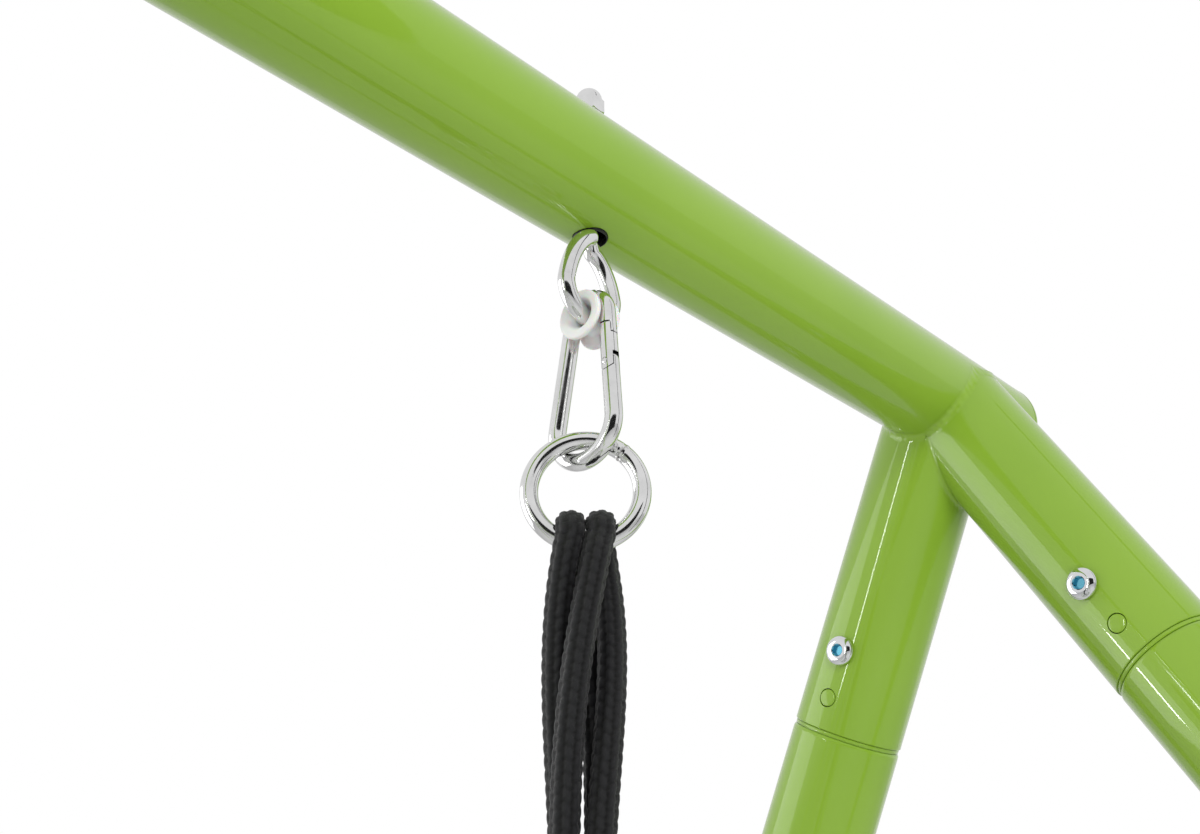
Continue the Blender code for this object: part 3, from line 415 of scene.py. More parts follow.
def plaited_rope(name):
    """Black braided rope: fibres run along each strand, and the hollows between the strands are painted
    darker, as shade.
    """
    made = new_finish(name, (0.008, 0.008, 0.009), 0.55, Sheen_Weight=0.10, Sheen_Roughness=0.35,
                      Specular_IOR_Level=0.40)
    across = surface_place(made, "strand", (9.0, 0.8, 1.0))
    fibre = noise(made, across, 3.0, 3.0, 0.7)
    height = node(made, "ShaderNodeAttribute", attribute_name="height")
    painted_groove_shade = spread(made, height.outputs["Fac"], 0.1, 0.9)
    fibre_tone = blend_colours(made, spread(made, fibre, 0.35, 0.75), (0.005, 0.005, 0.006), (0.024, 0.024, 0.026))
    # Painted shade: the colour goes nearly black where the strands dip, in the hollows between them.
    feed(made, "Base Color", blend_colours(made, painted_groove_shade, (0.0012, 0.0012, 0.0012), fibre_tone))
    feed(made, "Roughness", spread(made, fibre, 0.3, 0.7, 0.75, 0.45))
    feed(made, "Normal", add_bump(made, fibre, 0.00035, 0.55))
    return made


def thin_cord(name, colour, columns=4.0, pitch=0.004):
    """A thin braided cord: slanting strands cross as a bump along its own coordinates, and its colour is
    painted lighter on the strands' crests and darker in the hollows between them, as light and shade.
    """
    lighter = tuple(2.2 * c + 0.002 for c in colour)
    darker = tuple(0.3 * c for c in colour)
    made = new_finish(name, colour, 0.65, Sheen_Weight=0.2, Sheen_Roughness=0.4)
    around, along = own_place(made)
    turn = calculate(made, "MULTIPLY", around, math.tau * columns)
    run = calculate(made, "MULTIPLY", along, math.pi / pitch)
    one = calculate(made, "SINE", calculate(made, "ADD", turn, run))
    two = calculate(made, "SINE", calculate(made, "SUBTRACT", turn, run))
    weave = calculate(made, "MAXIMUM", one, two)
    share = spread(made, weave, -0.4, 1.0)
    # Painted light and shade: lighter where the weave rises, darker where it dips.
    feed(made, "Base Color", blend_colours(made, share, darker, lighter))
    feed(made, "Normal", add_bump(made, weave, 0.0004, 0.6))
    return made


def pad_cloth(name):
    """Coated woven cloth: a fine basket weave and soft creases, on its own coordinates; the weave's hollows
    are painted darker, as shade.
    """
    made = new_finish(name, (0.235, 0.405, 0.050), 0.62, Sheen_Weight=0.15, Sheen_Roughness=0.5,
                      Coat_Weight=0.08, Coat_Roughness=0.4)
    thread = math.tau / CLOTH_THREAD
    warp, weft = (calculate(made, "MULTIPLY", run, thread) for run in own_place(made))
    weave = calculate(made, "MULTIPLY", calculate(made, "SINE", warp), calculate(made, "SINE", weft))
    cloud = noise(made, object_place(made), 14.0, 5.0, 0.6)
    tone = blend_colours(made, spread(made, cloud, 0.3, 0.7), (0.205, 0.365, 0.045), (0.250, 0.430, 0.055))
    # Painted shade: darker green where the weave dips.
    dark = blend_colours(made, spread(made, weave, -1.0, 0.2), (0.170, 0.300, 0.036), tone)
    feed(made, "Base Color", dark)
    crease = noise(made, object_place(made), 90.0, 3.0, 0.55)
    lift = add_bump(made, crease, 0.0012, 0.18)
    feed(made, "Normal", add_bump(made, weave, 0.00012, 0.5, lift))
    return made


PAINT = powder_coat("green_powder_coat")
CAP_PLASTIC = powder_coat("green_plastic", 0.97)
ZINC = bright_metal("zinc_plate", (0.86, 0.86, 0.86), 0.09)
CHROME = bright_metal("bright_zinc", (0.84, 0.85, 0.87), 0.06)
RECESS = bright_metal("blue_recess", (0.16, 0.50, 0.66), 0.16)
WELD_METAL = bright_metal("ring_weld", (0.62, 0.61, 0.60), 0.30, 0.4)
ALUMINIUM = bright_metal("pressed_aluminium", (0.72, 0.72, 0.73), 0.28, 0.25)
RIM_STEEL = bright_metal("rim_steel", (0.55, 0.56, 0.57), 0.40)
BLACK_PLASTIC = grained("black_plastic", (0.010, 0.010, 0.011), 0.42, 900.0, 0.0001)
BLACK_RUBBER = grained("black_rubber", (0.018, 0.018, 0.018), 0.72, 700.0, 0.0002)
NYLON = grained("white_nylon", (0.90, 0.90, 0.89), 0.34, 260.0, 0.0001, Subsurface_Weight=0.45,
                Subsurface_Scale=0.004, Transmission_Weight=0.10)
ROPE = plaited_rope("black_rope")
NET_CORD = thin_cord("net_cord", (0.014, 0.014, 0.015))
THREAD = thin_cord("pad_thread", (0.30, 0.48, 0.10), 2.0, 0.0012)
PAD_CLOTH = pad_cloth("pad_cloth")


# Mesh tools


def frame_at(origin, z_axis, x_axis):
    """Matrix with its local Z along z_axis and its local X near x_axis."""
    z = Vector(z_axis).normalized()
    x = Vector(x_axis)
    x = (x - z * x.dot(z)).normalized()
    turn = Matrix((x, z.cross(x), z)).transposed().to_4x4()
    return Matrix.Translation(origin) @ turn


def quads(rows, columns, ring=False):
    """Faces of a grid of points whose rows close on themselves; ring joins the last row to the first."""
    row = np.arange(rows if ring else rows - 1)[:, None] * columns
    column = np.arange(columns)[None, :]
    after = (column + 1) % columns
    below = (row + columns) % (rows * columns)
    return np.stack([row + column, row + after, below + after, below + column], -1).reshape(-1, 4)


def new_piece(name, points, faces, finish=None, merge=0.0, check_normals=True):
    """An object at the origin from points in world places."""
    mesh = bpy.data.meshes.new(name)
    mesh.from_pydata([tuple(p) for p in points], [], [tuple(int(i) for i in f) for f in faces])
    if merge or check_normals:
        shape = bmesh.new()
        shape.from_mesh(mesh)
        if merge:
            bmesh.ops.remove_doubles(shape, verts=shape.verts, dist=merge)
        bmesh.ops.recalc_face_normals(shape, faces=shape.faces)
        shape.to_mesh(mesh)
        shape.free()
    mesh.update()
    piece = bpy.data.objects.new(name, mesh)
    bpy.context.scene.collection.objects.link(piece)
    if finish:
        mesh.materials.append(finish)
    return piece


def rounded(profile, radius, steps=4, closed=True):
    """A profile of (radius, height) points with its corners rounded; radius is one or one per corner."""
    count = len(profile)
    radii = radius if isinstance(radius, (list, tuple)) else [radius] * count
    points = []
    for index, corner in enumerate(profile):
        here = np.array(corner, float)
        inner = 0 < index < count - 1
        if not (closed or inner) or radii[index] <= 0.0:
            points.append(tuple(here))
            continue
        before = np.array(profile[index - 1], float) - here
        after = np.array(profile[(index + 1) % count], float) - here
        reach_before = min(radii[index], 0.45 * np.linalg.norm(before))
        reach_after = min(radii[index], 0.45 * np.linalg.norm(after))
        start = here + before / np.linalg.norm(before) * reach_before
        stop = here + after / np.linalg.norm(after) * reach_after
        for step in range(steps + 1):
            t = step / steps
            points.append(tuple((1 - t) ** 2 * start + 2 * t * (1 - t) * here + t * t * stop))
    return points


def turned(name, profile, matrix, finish=None, sides=TUBE_SIDES, closed=True):
    """A shape turned about a matrix's local Z axis from (radius, height) points."""
    angles = full_turn(sides)
    profile = np.array(profile, float)
    rings = np.stack([profile[:, :1] * np.cos(angles), profile[:, :1] * np.sin(angles),
                      np.repeat(profile[:, 1:], sides, 1)], -1).reshape(-1, 3)
    faces = [f for f in quads(len(profile), sides, closed)]
    piece = new_piece(name, rings, faces, finish, 1e-7)
    piece.data.transform(matrix)
    return piece


def prism(name, outline, low, high, matrix, finish=None):
    """A straight prism of an outline in a matrix's local XY plane."""
    count = len(outline)
    points = [(x, y, z) for z in (low, high) for x, y in outline]
    faces = [[k, (k + 1) % count, count + (k + 1) % count, count + k] for k in range(count)]
    faces += [list(range(count)), list(range(count, 2 * count))]
    piece = new_piece(name, points, faces, finish)
    piece.data.transform(matrix)
    return piece


def polygon(radius, sides, turn=0.0):
    """Corners of a regular outline."""
    angles = [turn + math.tau * k / sides for k in range(sides)]
    return [(radius * math.cos(angle), radius * math.sin(angle)) for angle in angles]


def box(name, low, high, matrix):
    """A box between two corners in a matrix's frame."""
    outline = [(low[0], low[1]), (high[0], low[1]), (high[0], high[1]), (low[0], high[1])]
    return prism(name, outline, low[2], high[2], matrix)


def combine(piece, other, operation="DIFFERENCE"):
    """Cut a piece with another or join the other to it; the other is used up."""
    boolean = piece.modifiers.new("combine", "BOOLEAN")
    boolean.operation = operation
    boolean.object = other
    settle(piece)
    bpy.data.objects.remove(other, do_unlink=True)
    return piece


def settle(piece):
    """Apply a piece's modifiers to its mesh."""
    bpy.context.view_layer.update()
    seen = piece.evaluated_get(bpy.context.evaluated_depsgraph_get())
    mesh = bpy.data.meshes.new_from_object(seen)
    piece.modifiers.clear()
    piece.data = mesh


def rest_path(points, step, closed=False):
    """A smooth curve through points, with its own points a step apart."""
    given = np.array([tuple(p) for p in points], float)
    if closed:
        padded = np.vstack([given[-1:], given, given[:2]])
    else:
        padded = np.vstack([2 * given[:1] - given[1:2], given, 2 * given[-1:] - given[-2:-1]])
    t = np.linspace(0.0, 1.0, 16, endpoint=False)[:, None]
    runs = []
    for a, b, c, d in zip(padded[:-3], padded[1:-2], padded[2:-1], padded[3:]):
        runs.append(0.5 * (2 * b + (c - a) * t + (2 * a - 5 * b + 4 * c - d) * t ** 2
                           + (3 * b - a - 3 * c + d) * t ** 3))
    curve = np.vstack(runs + [padded[-2:-1]])
    return even(curve, step, closed)


def run_along(curve):
    """Length from a polyline's start to each of its points."""
    return np.concatenate([[0.0], np.cumsum(np.linalg.norm(np.diff(curve, axis=0), axis=1))])


def points_at(stops, lengths, curve):
    """Points of a polyline at given lengths along it."""
    return np.stack([np.interp(stops, lengths, curve[:, axis]) for axis in range(curve.shape[1])], -1)


def even(curve, step, closed=False):
    """Points a step apart along a fine polyline."""
    lengths = run_along(curve)
    count = max(3, int(round(lengths[-1] / step)) + 1)
    stops = np.linspace(0.0, lengths[-1], count)
    if closed:
        stops = stops[:-1]
    return points_at(stops, lengths, curve)


def full_turn(count):
    """Angles evenly set out round a circle."""
    return np.linspace(0.0, math.tau, count, endpoint=False)


def sides_along(path, hint, closed=False):
    """Tangents and two directions square to a path, turned as little as possible."""
    if closed:
        tangents = np.roll(path, -1, 0) - np.roll(path, 1, 0)
    else:
        tangents = np.gradient(path, axis=0)
    tangents /= np.linalg.norm(tangents, axis=1)[:, None]
    normals = np.zeros_like(path)
    normal = np.array(hint, float)
    for index, tangent in enumerate(tangents):
        normal = normal - tangent * normal.dot(tangent)
        normal /= np.linalg.norm(normal)
        normals[index] = normal
    return tangents, normals, np.cross(tangents, normals)


def swept(name, path, section, hint, finish, closed=False):
    """A solid along a path; section gives each station's outline as (stations, corners, 2) side offsets."""
    path = np.array(path, float)
    _, across, over = sides_along(path, hint, closed)
    section = np.broadcast_to(section, (len(path), section.shape[-2], 2))
    rings = path[:, None] + section[:, :, :1] * across[:, None] + section[:, :, 1:] * over[:, None]
    columns = section.shape[1]
    faces = [f for f in quads(len(path), columns, closed)]
    if not closed:
        faces.append(np.arange(columns)[::-1])
        faces.append((len(path) - 1) * columns + np.arange(columns))
    return new_piece(name, rings.reshape(-1, 3), faces, finish)


def round_section(radius, sides=WIRE_SIDES):
    """Outline of a round wire."""
    return np.array(polygon(radius, sides))


def round_ends(count, radius, step, chamfer):
    """Share of the full radius at each station of a wire whose cut ends are chamfered."""
    run = np.minimum(np.arange(count), np.arange(count)[::-1]) * step
    return np.clip((radius - chamfer + run) / radius, 0.0, 1.0)[:, None, None]


def smooth(piece, angle=35.0):
    """Shade a piece smooth, with edges kept sharp above an angle."""
    piece.data.shade_smooth()
    piece.data.set_sharp_from_angle(angle=math.radians(angle))
    return piece


def true_tube_normals(piece, matrix, radii):
    """Give a tube's walls their exact round normals, so that cut holes leave no shading marks."""
    mesh = piece.data
    inverse = matrix.inverted()
    local = np.array([tuple(inverse @ v.co) for v in mesh.vertices])
    far = np.hypot(local[:, 0], local[:, 1])
    outward = np.array([tuple((matrix.to_3x3() @ Vector((x, y, 0.0))).normalized()) for x, y, _ in local])
    normals = np.array([tuple(n.vector) for n in mesh.corner_normals])
    for face in mesh.polygons:
        for radius, sign in radii:
            corners = [mesh.loops[k].vertex_index for k in face.loop_indices]
            if all(abs(far[v] - radius) < 2.0e-5 for v in corners):
                for loop, vertex in zip(face.loop_indices, corners):
                    normals[loop] = sign * outward[vertex]
    mesh.normals_split_custom_set([tuple(n) for n in normals])
    return piece


def place_piece(piece, body, slot, *nodes):
    """Ride on a body and stand for CAD nodes; the slot is not used."""
    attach(piece, body)
    if nodes:
        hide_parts(*nodes)
    return piece


# Geometry Nodes


def new_tree(name, inputs):
    """A node tree with named inputs and one geometry output."""
    tree = bpy.data.node_groups.new(name, "GeometryNodeTree")
    for label, kind in inputs:
        tree.interface.new_socket(label, in_out="INPUT", socket_type=kind)
    tree.interface.new_socket("Pieces", in_out="OUTPUT", socket_type="NodeSocketGeometry")
    return tree, tree.nodes.new("NodeGroupInput"), tree.nodes.new("NodeGroupOutput")


def set_out_tree():
    """Set out copies of a piece at the points of a mesh, turned by each point's own angles."""
    tree, given, result = new_tree("set_out_pieces", [
        ("Places", "NodeSocketGeometry"), ("Piece", "NodeSocketObject"), ("Size", "NodeSocketFloat"),
        ("Finish", "NodeSocketMaterial"), ("Recess finish", "NodeSocketMaterial")])
    link = tree.links.new
    source = tree.nodes.new("GeometryNodeObjectInfo")
    turn = tree.nodes.new("GeometryNodeInputNamedAttribute")
    turn.data_type = "FLOAT_VECTOR"
    turn.inputs["Name"].default_value = "turn"
    rotation = tree.nodes.new("FunctionNodeEulerToRotation")
    copies = tree.nodes.new("GeometryNodeInstanceOnPoints")
    real = tree.nodes.new("GeometryNodeRealizeInstances")
    coat = tree.nodes.new("GeometryNodeSetMaterial")
    recess = tree.nodes.new("GeometryNodeInputNamedAttribute")
    recess.data_type = "BOOLEAN"
    recess.inputs["Name"].default_value = "recess"
    inner = tree.nodes.new("GeometryNodeSetMaterial")
    link(given.outputs["Piece"], source.inputs["Object"])
    link(given.outputs["Places"], copies.inputs["Points"])
    link(source.outputs["Geometry"], copies.inputs["Instance"])
    link(turn.outputs["Attribute"], rotation.inputs["Euler"])
    link(rotation.outputs["Rotation"], copies.inputs["Rotation"])
    link(given.outputs["Size"], copies.inputs["Scale"])
    link(copies.outputs["Instances"], real.inputs["Geometry"])
    link(real.outputs["Geometry"], coat.inputs["Geometry"])
    link(given.outputs["Finish"], coat.inputs["Material"])
    link(coat.outputs["Geometry"], inner.inputs["Geometry"])
    link(recess.outputs["Attribute"], inner.inputs["Selection"])
    link(given.outputs["Recess finish"], inner.inputs["Material"])
    link(inner.outputs["Geometry"], result.inputs["Pieces"])
    return tree


def cord_tree():
    """Lay a round cord along each edge chain of a mesh, with coordinates round and along it."""
    tree, given, result = new_tree("lay_cords", [
        ("Routes", "NodeSocketGeometry"), ("Radius", "NodeSocketFloat"), ("Sides", "NodeSocketInt"),
        ("Finish", "NodeSocketMaterial")])
    link = tree.links.new
    chain = tree.nodes.new("GeometryNodeMeshToCurve")
    along = tree.nodes.new("GeometryNodeCaptureAttribute")
    along.capture_items.new("FLOAT", "Along")
    run = tree.nodes.new("GeometryNodeSplineParameter")
    circle = tree.nodes.new("GeometryNodeCurvePrimitiveCircle")
    around = tree.nodes.new("GeometryNodeCaptureAttribute")
    around.capture_items.new("FLOAT", "Around")
    lap = tree.nodes.new("GeometryNodeSplineParameter")
    tube = tree.nodes.new("GeometryNodeCurveToMesh")
    tube.inputs["Fill Caps"].default_value = True
    pair = tree.nodes.new("ShaderNodeCombineXYZ")
    store = tree.nodes.new("GeometryNodeStoreNamedAttribute")
    store.data_type = "FLOAT2"
    store.domain = "CORNER"
    store.inputs["Name"].default_value = "UVMap"
    real = tree.nodes.new("GeometryNodeRealizeInstances")
    coat = tree.nodes.new("GeometryNodeSetMaterial")
    link(given.outputs["Routes"], chain.inputs["Mesh"])
    link(chain.outputs["Curve"], along.inputs["Geometry"])
    link(run.outputs["Length"], along.inputs["Along"])
    link(given.outputs["Radius"], circle.inputs["Radius"])
    link(given.outputs["Sides"], circle.inputs["Resolution"])
    link(circle.outputs["Curve"], around.inputs["Geometry"])
    link(lap.outputs["Factor"], around.inputs["Around"])
    link(along.outputs["Geometry"], tube.inputs["Curve"])
    link(around.outputs["Geometry"], tube.inputs["Profile Curve"])
    link(around.outputs["Around"], pair.inputs["X"])
    link(along.outputs["Along"], pair.inputs["Y"])
    link(tube.outputs["Mesh"], store.inputs["Geometry"])
    link(pair.outputs["Vector"], store.inputs["Value"])
    link(store.outputs["Geometry"], real.inputs["Geometry"])
    link(real.outputs["Geometry"], coat.inputs["Geometry"])
    link(given.outputs["Finish"], coat.inputs["Material"])
    link(coat.outputs["Geometry"], result.inputs["Pieces"])
    return tree


SET_OUT = set_out_tree()
LAY_CORDS = cord_tree()


def grown(name, base, tree, **values):
    """Run a tree on a base mesh and keep the result as a plain mesh."""
    piece = bpy.data.objects.new(name, base)
    bpy.context.scene.collection.objects.link(piece)
    modifier = piece.modifiers.new("grow", "NODES")
    modifier.node_group = tree
    sockets = {s.name: s.identifier for s in tree.interface.items_tree if s.in_out == "INPUT"}
    for label, value in values.items():
        modifier[sockets[label.replace("_", " ")]] = value
    settle(piece)
    piece.data.name = name
    return piece


def set_out(name, pattern, places, finish, recess=None):
    """Copies of a pattern piece at the given matrices, as one mesh; the pattern is used up."""
    base = bpy.data.meshes.new(name + "_places")
    base.from_pydata([tuple(m.translation) for m in places], [], [])
    turn = base.attributes.new("turn", "FLOAT_VECTOR", "POINT")
    for entry, matrix in zip(turn.data, places):
        entry.vector = tuple(matrix.to_euler("XYZ"))
    piece = grown(name, base, SET_OUT, Piece=pattern, Size=1.0, Finish=finish, Recess_finish=recess or finish)
    bpy.data.objects.remove(pattern, do_unlink=True)
    return piece


def laid(name, routes, radius, sides, finish):
    """Cords along a list of routes, as one mesh."""
    points = []
    edges = []
    for route in routes:
        start = len(points)
        points += [tuple(p) for p in route]
        edges += [(k, k + 1) for k in range(start, len(points) - 1)]
    base = bpy.data.meshes.new(name + "_routes")
    base.from_pydata(points, edges, [])
    piece = grown(name, base, LAY_CORDS, Radius=radius, Sides=sides, Finish=finish)
    return smooth(piece, 60.0)


# Crossbar, sockets and legs

BAR_AXES = frame_at((0.0, 0.0, BAR_HEIGHT), X_AXIS, Z_AXIS)


def leg_axes(end, leg):
    """Matrix of a leg: local Z runs down the leg, local X points to where its bolts' heads are."""
    down = Vector((end * LEG_LEAN_X, leg * LEG_SPREAD_Y, -1.0))
    base = frame_at((end * LEG_NODE_X, 0.0, BAR_HEIGHT), down, (-end, 0.0, 0.0))
    return base @ Matrix.Rotation(SCREW_TURN * end * leg, 4, "Z")


def across(end, leg, distance):
    """Matrix with its local Z square to a leg, through the leg's axis at a distance along it."""
    step = Matrix.Translation((0.0, 0.0, distance))
    return leg_axes(end, leg) @ step @ Matrix.Rotation(math.radians(90.0), 4, "Y")


def drill(name, matrix, radius, low, high, sides=48):
    """A round cutter along a matrix's Z axis."""
    return prism(name, polygon(radius, sides, 0.5), low, high, matrix)


def mouth_axes(end):
    """Upright matrix through the middle of an eye's hole in the bar's underside."""
    return Matrix.Translation((end * (EYE_X + HOLE_SHIFT[0]), HOLE_SHIFT[1], BAR_HEIGHT))


def make_crossbar():
    """The bar's tube with its hanger holes, and the two end caps."""
    tube_end = BAR_TIP_X - CAP_THICKNESS
    inner = BAR_RADIUS - BAR_WALL
    beside_eyes = [end * (EYE_X + side * 0.02) for end in (-1, 1) for side in (-1, 1)]
    stops = sorted({-tube_end, tube_end, *beside_eyes})
    outside = [(BAR_RADIUS, x) for x in stops]
    inside = [(inner, x) for x in reversed(stops)]
    bar = turned("crossbar_tube", outside + inside, BAR_AXES, PAINT)
    for name, end in ENDS.items():
        up = Matrix.Translation((end * EYE_X, 0.0, BAR_HEIGHT))
        combine(bar, drill("shank_hole", up, SCREW_RADIUS + GAP, 0.015, 0.045))
        combine(bar, drill("eye_hole", mouth_axes(end), HOLE_RADIUS, -0.045, -0.015))
    smooth(bar)
    true_tube_normals(bar, BAR_AXES, [(BAR_RADIUS, 1.0), (inner, -1.0)])
    place_piece(bar, "root", "green_powder_coat", "crossbar")
    crown = [(0.0, BAR_TIP_X)]
    for step in range(1, 13):
        angle = 0.5 * math.pi * step / 12
        crown.append((BAR_RADIUS - CAP_THICKNESS * (1.0 - math.sin(angle)) * 0.95 + 0.0001 * math.sin(angle),
                      BAR_TIP_X - 0.82 * CAP_THICKNESS * (1.0 - math.cos(angle))))
    plug = inner - GAP
    crown += [(BAR_RADIUS + 0.0001, tube_end + GAP), (plug, tube_end + GAP), (plug, tube_end - 0.012),
              (plug - 0.0015, tube_end - 0.0135), (0.0, tube_end - 0.0135)]
    mirrored = frame_at((0.0, 0.0, BAR_HEIGHT), (-1.0, 0.0, 0.0), Z_AXIS)
    for name, matrix in (("right", BAR_AXES), ("left", mirrored)):
        cap = smooth(turned(f"bar_cap_{name}", crown, matrix, CAP_PLASTIC, closed=False), 40.0)
        place_piece(cap, "root", "green_plastic", f"end_cap_{name}")


def leg_starts(end, leg, radius, angles):
    """Distances along a leg at which its wall of a radius leaves the crossbar and the other leg."""
    matrix = leg_axes(end, leg)
    turn = np.array(matrix.to_3x3())
    base = np.array(matrix.translation)
    down = turn[:, 2]
    wall = base + radius * (np.cos(angles)[:, None] * turn[:, 0] + np.sin(angles)[:, None] * turn[:, 1])
    side = np.stack([wall[:, 1], wall[:, 2] - BAR_HEIGHT], -1)
    way = down[1:]
    square = way.dot(way)
    half = side @ way
    inside = half ** 2 - square * ((side ** 2).sum(1) - BAR_RADIUS ** 2)
    cope = (-half + np.sqrt(np.maximum(inside, 0.0))) / square
    mitre = -wall[:, 1] / down[1]
    return np.maximum(cope, SOCKET_START), mitre, wall, down


def make_socket(name, end, leg):
    """A short tube coped to the bar and mitred to the other leg's, with a bolt hole and a button hole."""
    sides = 144
    angles = full_turn(sides)
    matrix = leg_axes(end, leg)
    rings = []
    walls = (LEG_RADIUS, LEG_RADIUS - LEG_WALL)
    for wall_radius, way in zip(walls, (1, -1)):
        cope, mitre, wall, down = leg_starts(end, leg, wall_radius, angles)
        start = np.maximum(cope, mitre)
        edge = 0.0004
        stops = [start, np.maximum(start, 0.135), np.full(sides, 0.196), np.full(sides, SOCKET_END - edge)]
        band = [wall + stop[:, None] * down for stop in stops]
        lip = leg_starts(end, leg, wall_radius - way * edge, angles)[2] + SOCKET_END * down
        band.append(lip)
        rings += band if way > 0 else band[::-1]
    faces = list(quads(len(rings), sides, True))
    socket = new_piece(f"socket_{name}", np.vstack(rings), faces, PAINT, 1e-7)
    combine(socket, drill("bolt_hole", across(end, leg, SOCKET_SCREW), SCREW_RADIUS + GAP, -0.05, 0.05))
    combine(socket, drill("button_hole", across(end, leg, SNAP_BUTTON), BUTTON_HOLE, 0.0, 0.05, 64))
    smooth(socket)
    true_tube_normals(socket, matrix, [(LEG_RADIUS, 1.0), (LEG_RADIUS - LEG_WALL, -1.0)])
    return place_piece(socket, "root", "green_powder_coat", f"leg_socket_{name}")


def fillet(name, first, corner, second):
    """A hollow fillet of paint-covered weld between two walls, from points beside and on their seam."""
    stations = len(corner)
    t = np.linspace(0.0, 1.0, 9)[None, :, None]
    curve = (1 - t) ** 2 * first[:, None] + 2 * t * (1 - t) * corner[:, None] + t * t * second[:, None]
    run = np.minimum(np.arange(stations), np.arange(stations)[::-1])[:, None]
    wave = 0.00010 * np.sin(0.41 * np.arange(stations) + np.sin(0.13 * np.arange(stations)))[:, None]
    out = 0.5 * (first + second) - corner
    out /= np.linalg.norm(out, axis=1)[:, None]
    swell = (wave * np.minimum(1.0, run / 12.0))[:, None] * np.sin(math.pi * t[0])[None]
    curve = curve + swell * out[:, None]
    buried = corner - 0.0010 * out
    rings = np.concatenate([curve, buried[:, None]], 1)
    columns = rings.shape[1]
    last = [(stations - 1) * columns + k for k in range(columns)]
    faces = [*quads(stations, columns), list(range(columns)), last]
    return new_piece(name, rings.reshape(-1, 3), faces, PAINT)


def make_welds(name, end):
    """Painted fillets where the sockets meet the bar and each other."""
    angles = full_turn(WELD_STATIONS)
    fillets = []
    for leg in LEGS.values():
        cope, mitre, wall, down = leg_starts(end, leg, LEG_RADIUS + WELD_PROUD, angles)
        away = wall - np.array(leg_axes(end, leg).translation)
        on_bar = cope >= mitre
        first = int(np.argmax(on_bar & ~np.roll(on_bar, 1)))
        order = np.roll(np.arange(len(angles)), -first)
        on_bar_run = [k for k in order if on_bar[k]]
        seam = wall + cope[:, None] * down
        on_wall = wall + (cope + WELD_LEG)[:, None] * down
        round_bar = seam - (seam[:, :1] * X_AXIS + (0.0, 0.0, BAR_HEIGHT))
        round_bar /= np.linalg.norm(round_bar, axis=1)[:, None]
        way = away / LEG_RADIUS - 0.6 * down
        way -= (way * round_bar).sum(1)[:, None] * round_bar
        way /= np.linalg.norm(way, axis=1)[:, None]
        on_tube = seam + WELD_LEG * way
        spoke = on_tube[:, 1:] - (0.0, BAR_HEIGHT)
        spoke *= (BAR_RADIUS + WELD_PROUD) / np.linalg.norm(spoke, axis=1)[:, None]
        on_tube[:, 1:] = spoke + (0.0, BAR_HEIGHT)
        fillets.append(fillet("bar_fillet", *(p[on_bar_run] for p in (on_wall, seam, on_tube))))
        if leg > 0:
            between = [k for k in order if not on_bar[k]]
            seam = wall + mitre[:, None] * down
            here = wall + (mitre + WELD_LEG)[:, None] * down
            there = here * (1.0, -1.0, 1.0)
            fillets.append(fillet("mitre_fillet", *(p[between] for p in (here, seam, there))))
    weld = joined(f"socket_weld_{name}", fillets)
    smooth(weld, 60.0)
    return place_piece(weld, "root", "green_powder_coat")


def joined(name, parts):
    """Several pieces as one object."""
    mesh = bpy.data.meshes.new(name)
    shape = bmesh.new()
    for part in parts:
        shape.from_mesh(part.data)
    shape.to_mesh(mesh)
    shape.free()
    for finish in parts[0].data.materials:
        mesh.materials.append(finish)
    for part in parts:
        bpy.data.objects.remove(part, do_unlink=True)
    piece = bpy.data.objects.new(name, mesh)
    bpy.context.scene.collection.objects.link(piece)
    return piece


def swaged_profile(neck_start, mouth, end):
    """Walls of a tube: a reduced neck, a slim collar outside the mouth it sits in, a quick shoulder."""
    neck = LEG_RADIUS - LEG_WALL - GAP
    collar = LEG_RADIUS - COLLAR_DEPTH
    root = mouth + COLLAR_LENGTH + GROOVE
    outer = [(neck - 0.0006, neck_start), (neck, neck_start + 0.0008), (neck, mouth - 0.012),
             (neck, mouth + 0.0001), (collar - 0.0001, mouth + GROOVE), (collar, mouth + GROOVE + 0.0001),
             (collar, root - 0.0001), (collar - 0.0001, root), (collar - 0.0009, root + 0.0001),
             (collar - 0.0009, root + GROOVE)]
    for step in range(1, 9):
        angle = 0.5 * math.pi * step / 8
        outer.append((collar - 0.0007 + (COLLAR_DEPTH + 0.0007) * math.sin(angle),
                      root + GROOVE + SWAGE * (1.0 - math.cos(angle))))
    outer += [(LEG_RADIUS, mouth + 0.04), (LEG_RADIUS, end - 0.15), (LEG_RADIUS, end - 0.0004),
              (LEG_RADIUS - 0.0004, end)]
    inner = [(LEG_RADIUS - LEG_WALL, end), (LEG_RADIUS - LEG_WALL, root + 0.006), (neck - LEG_WALL, root),
             (neck - LEG_WALL, neck_start)]
    return outer + inner


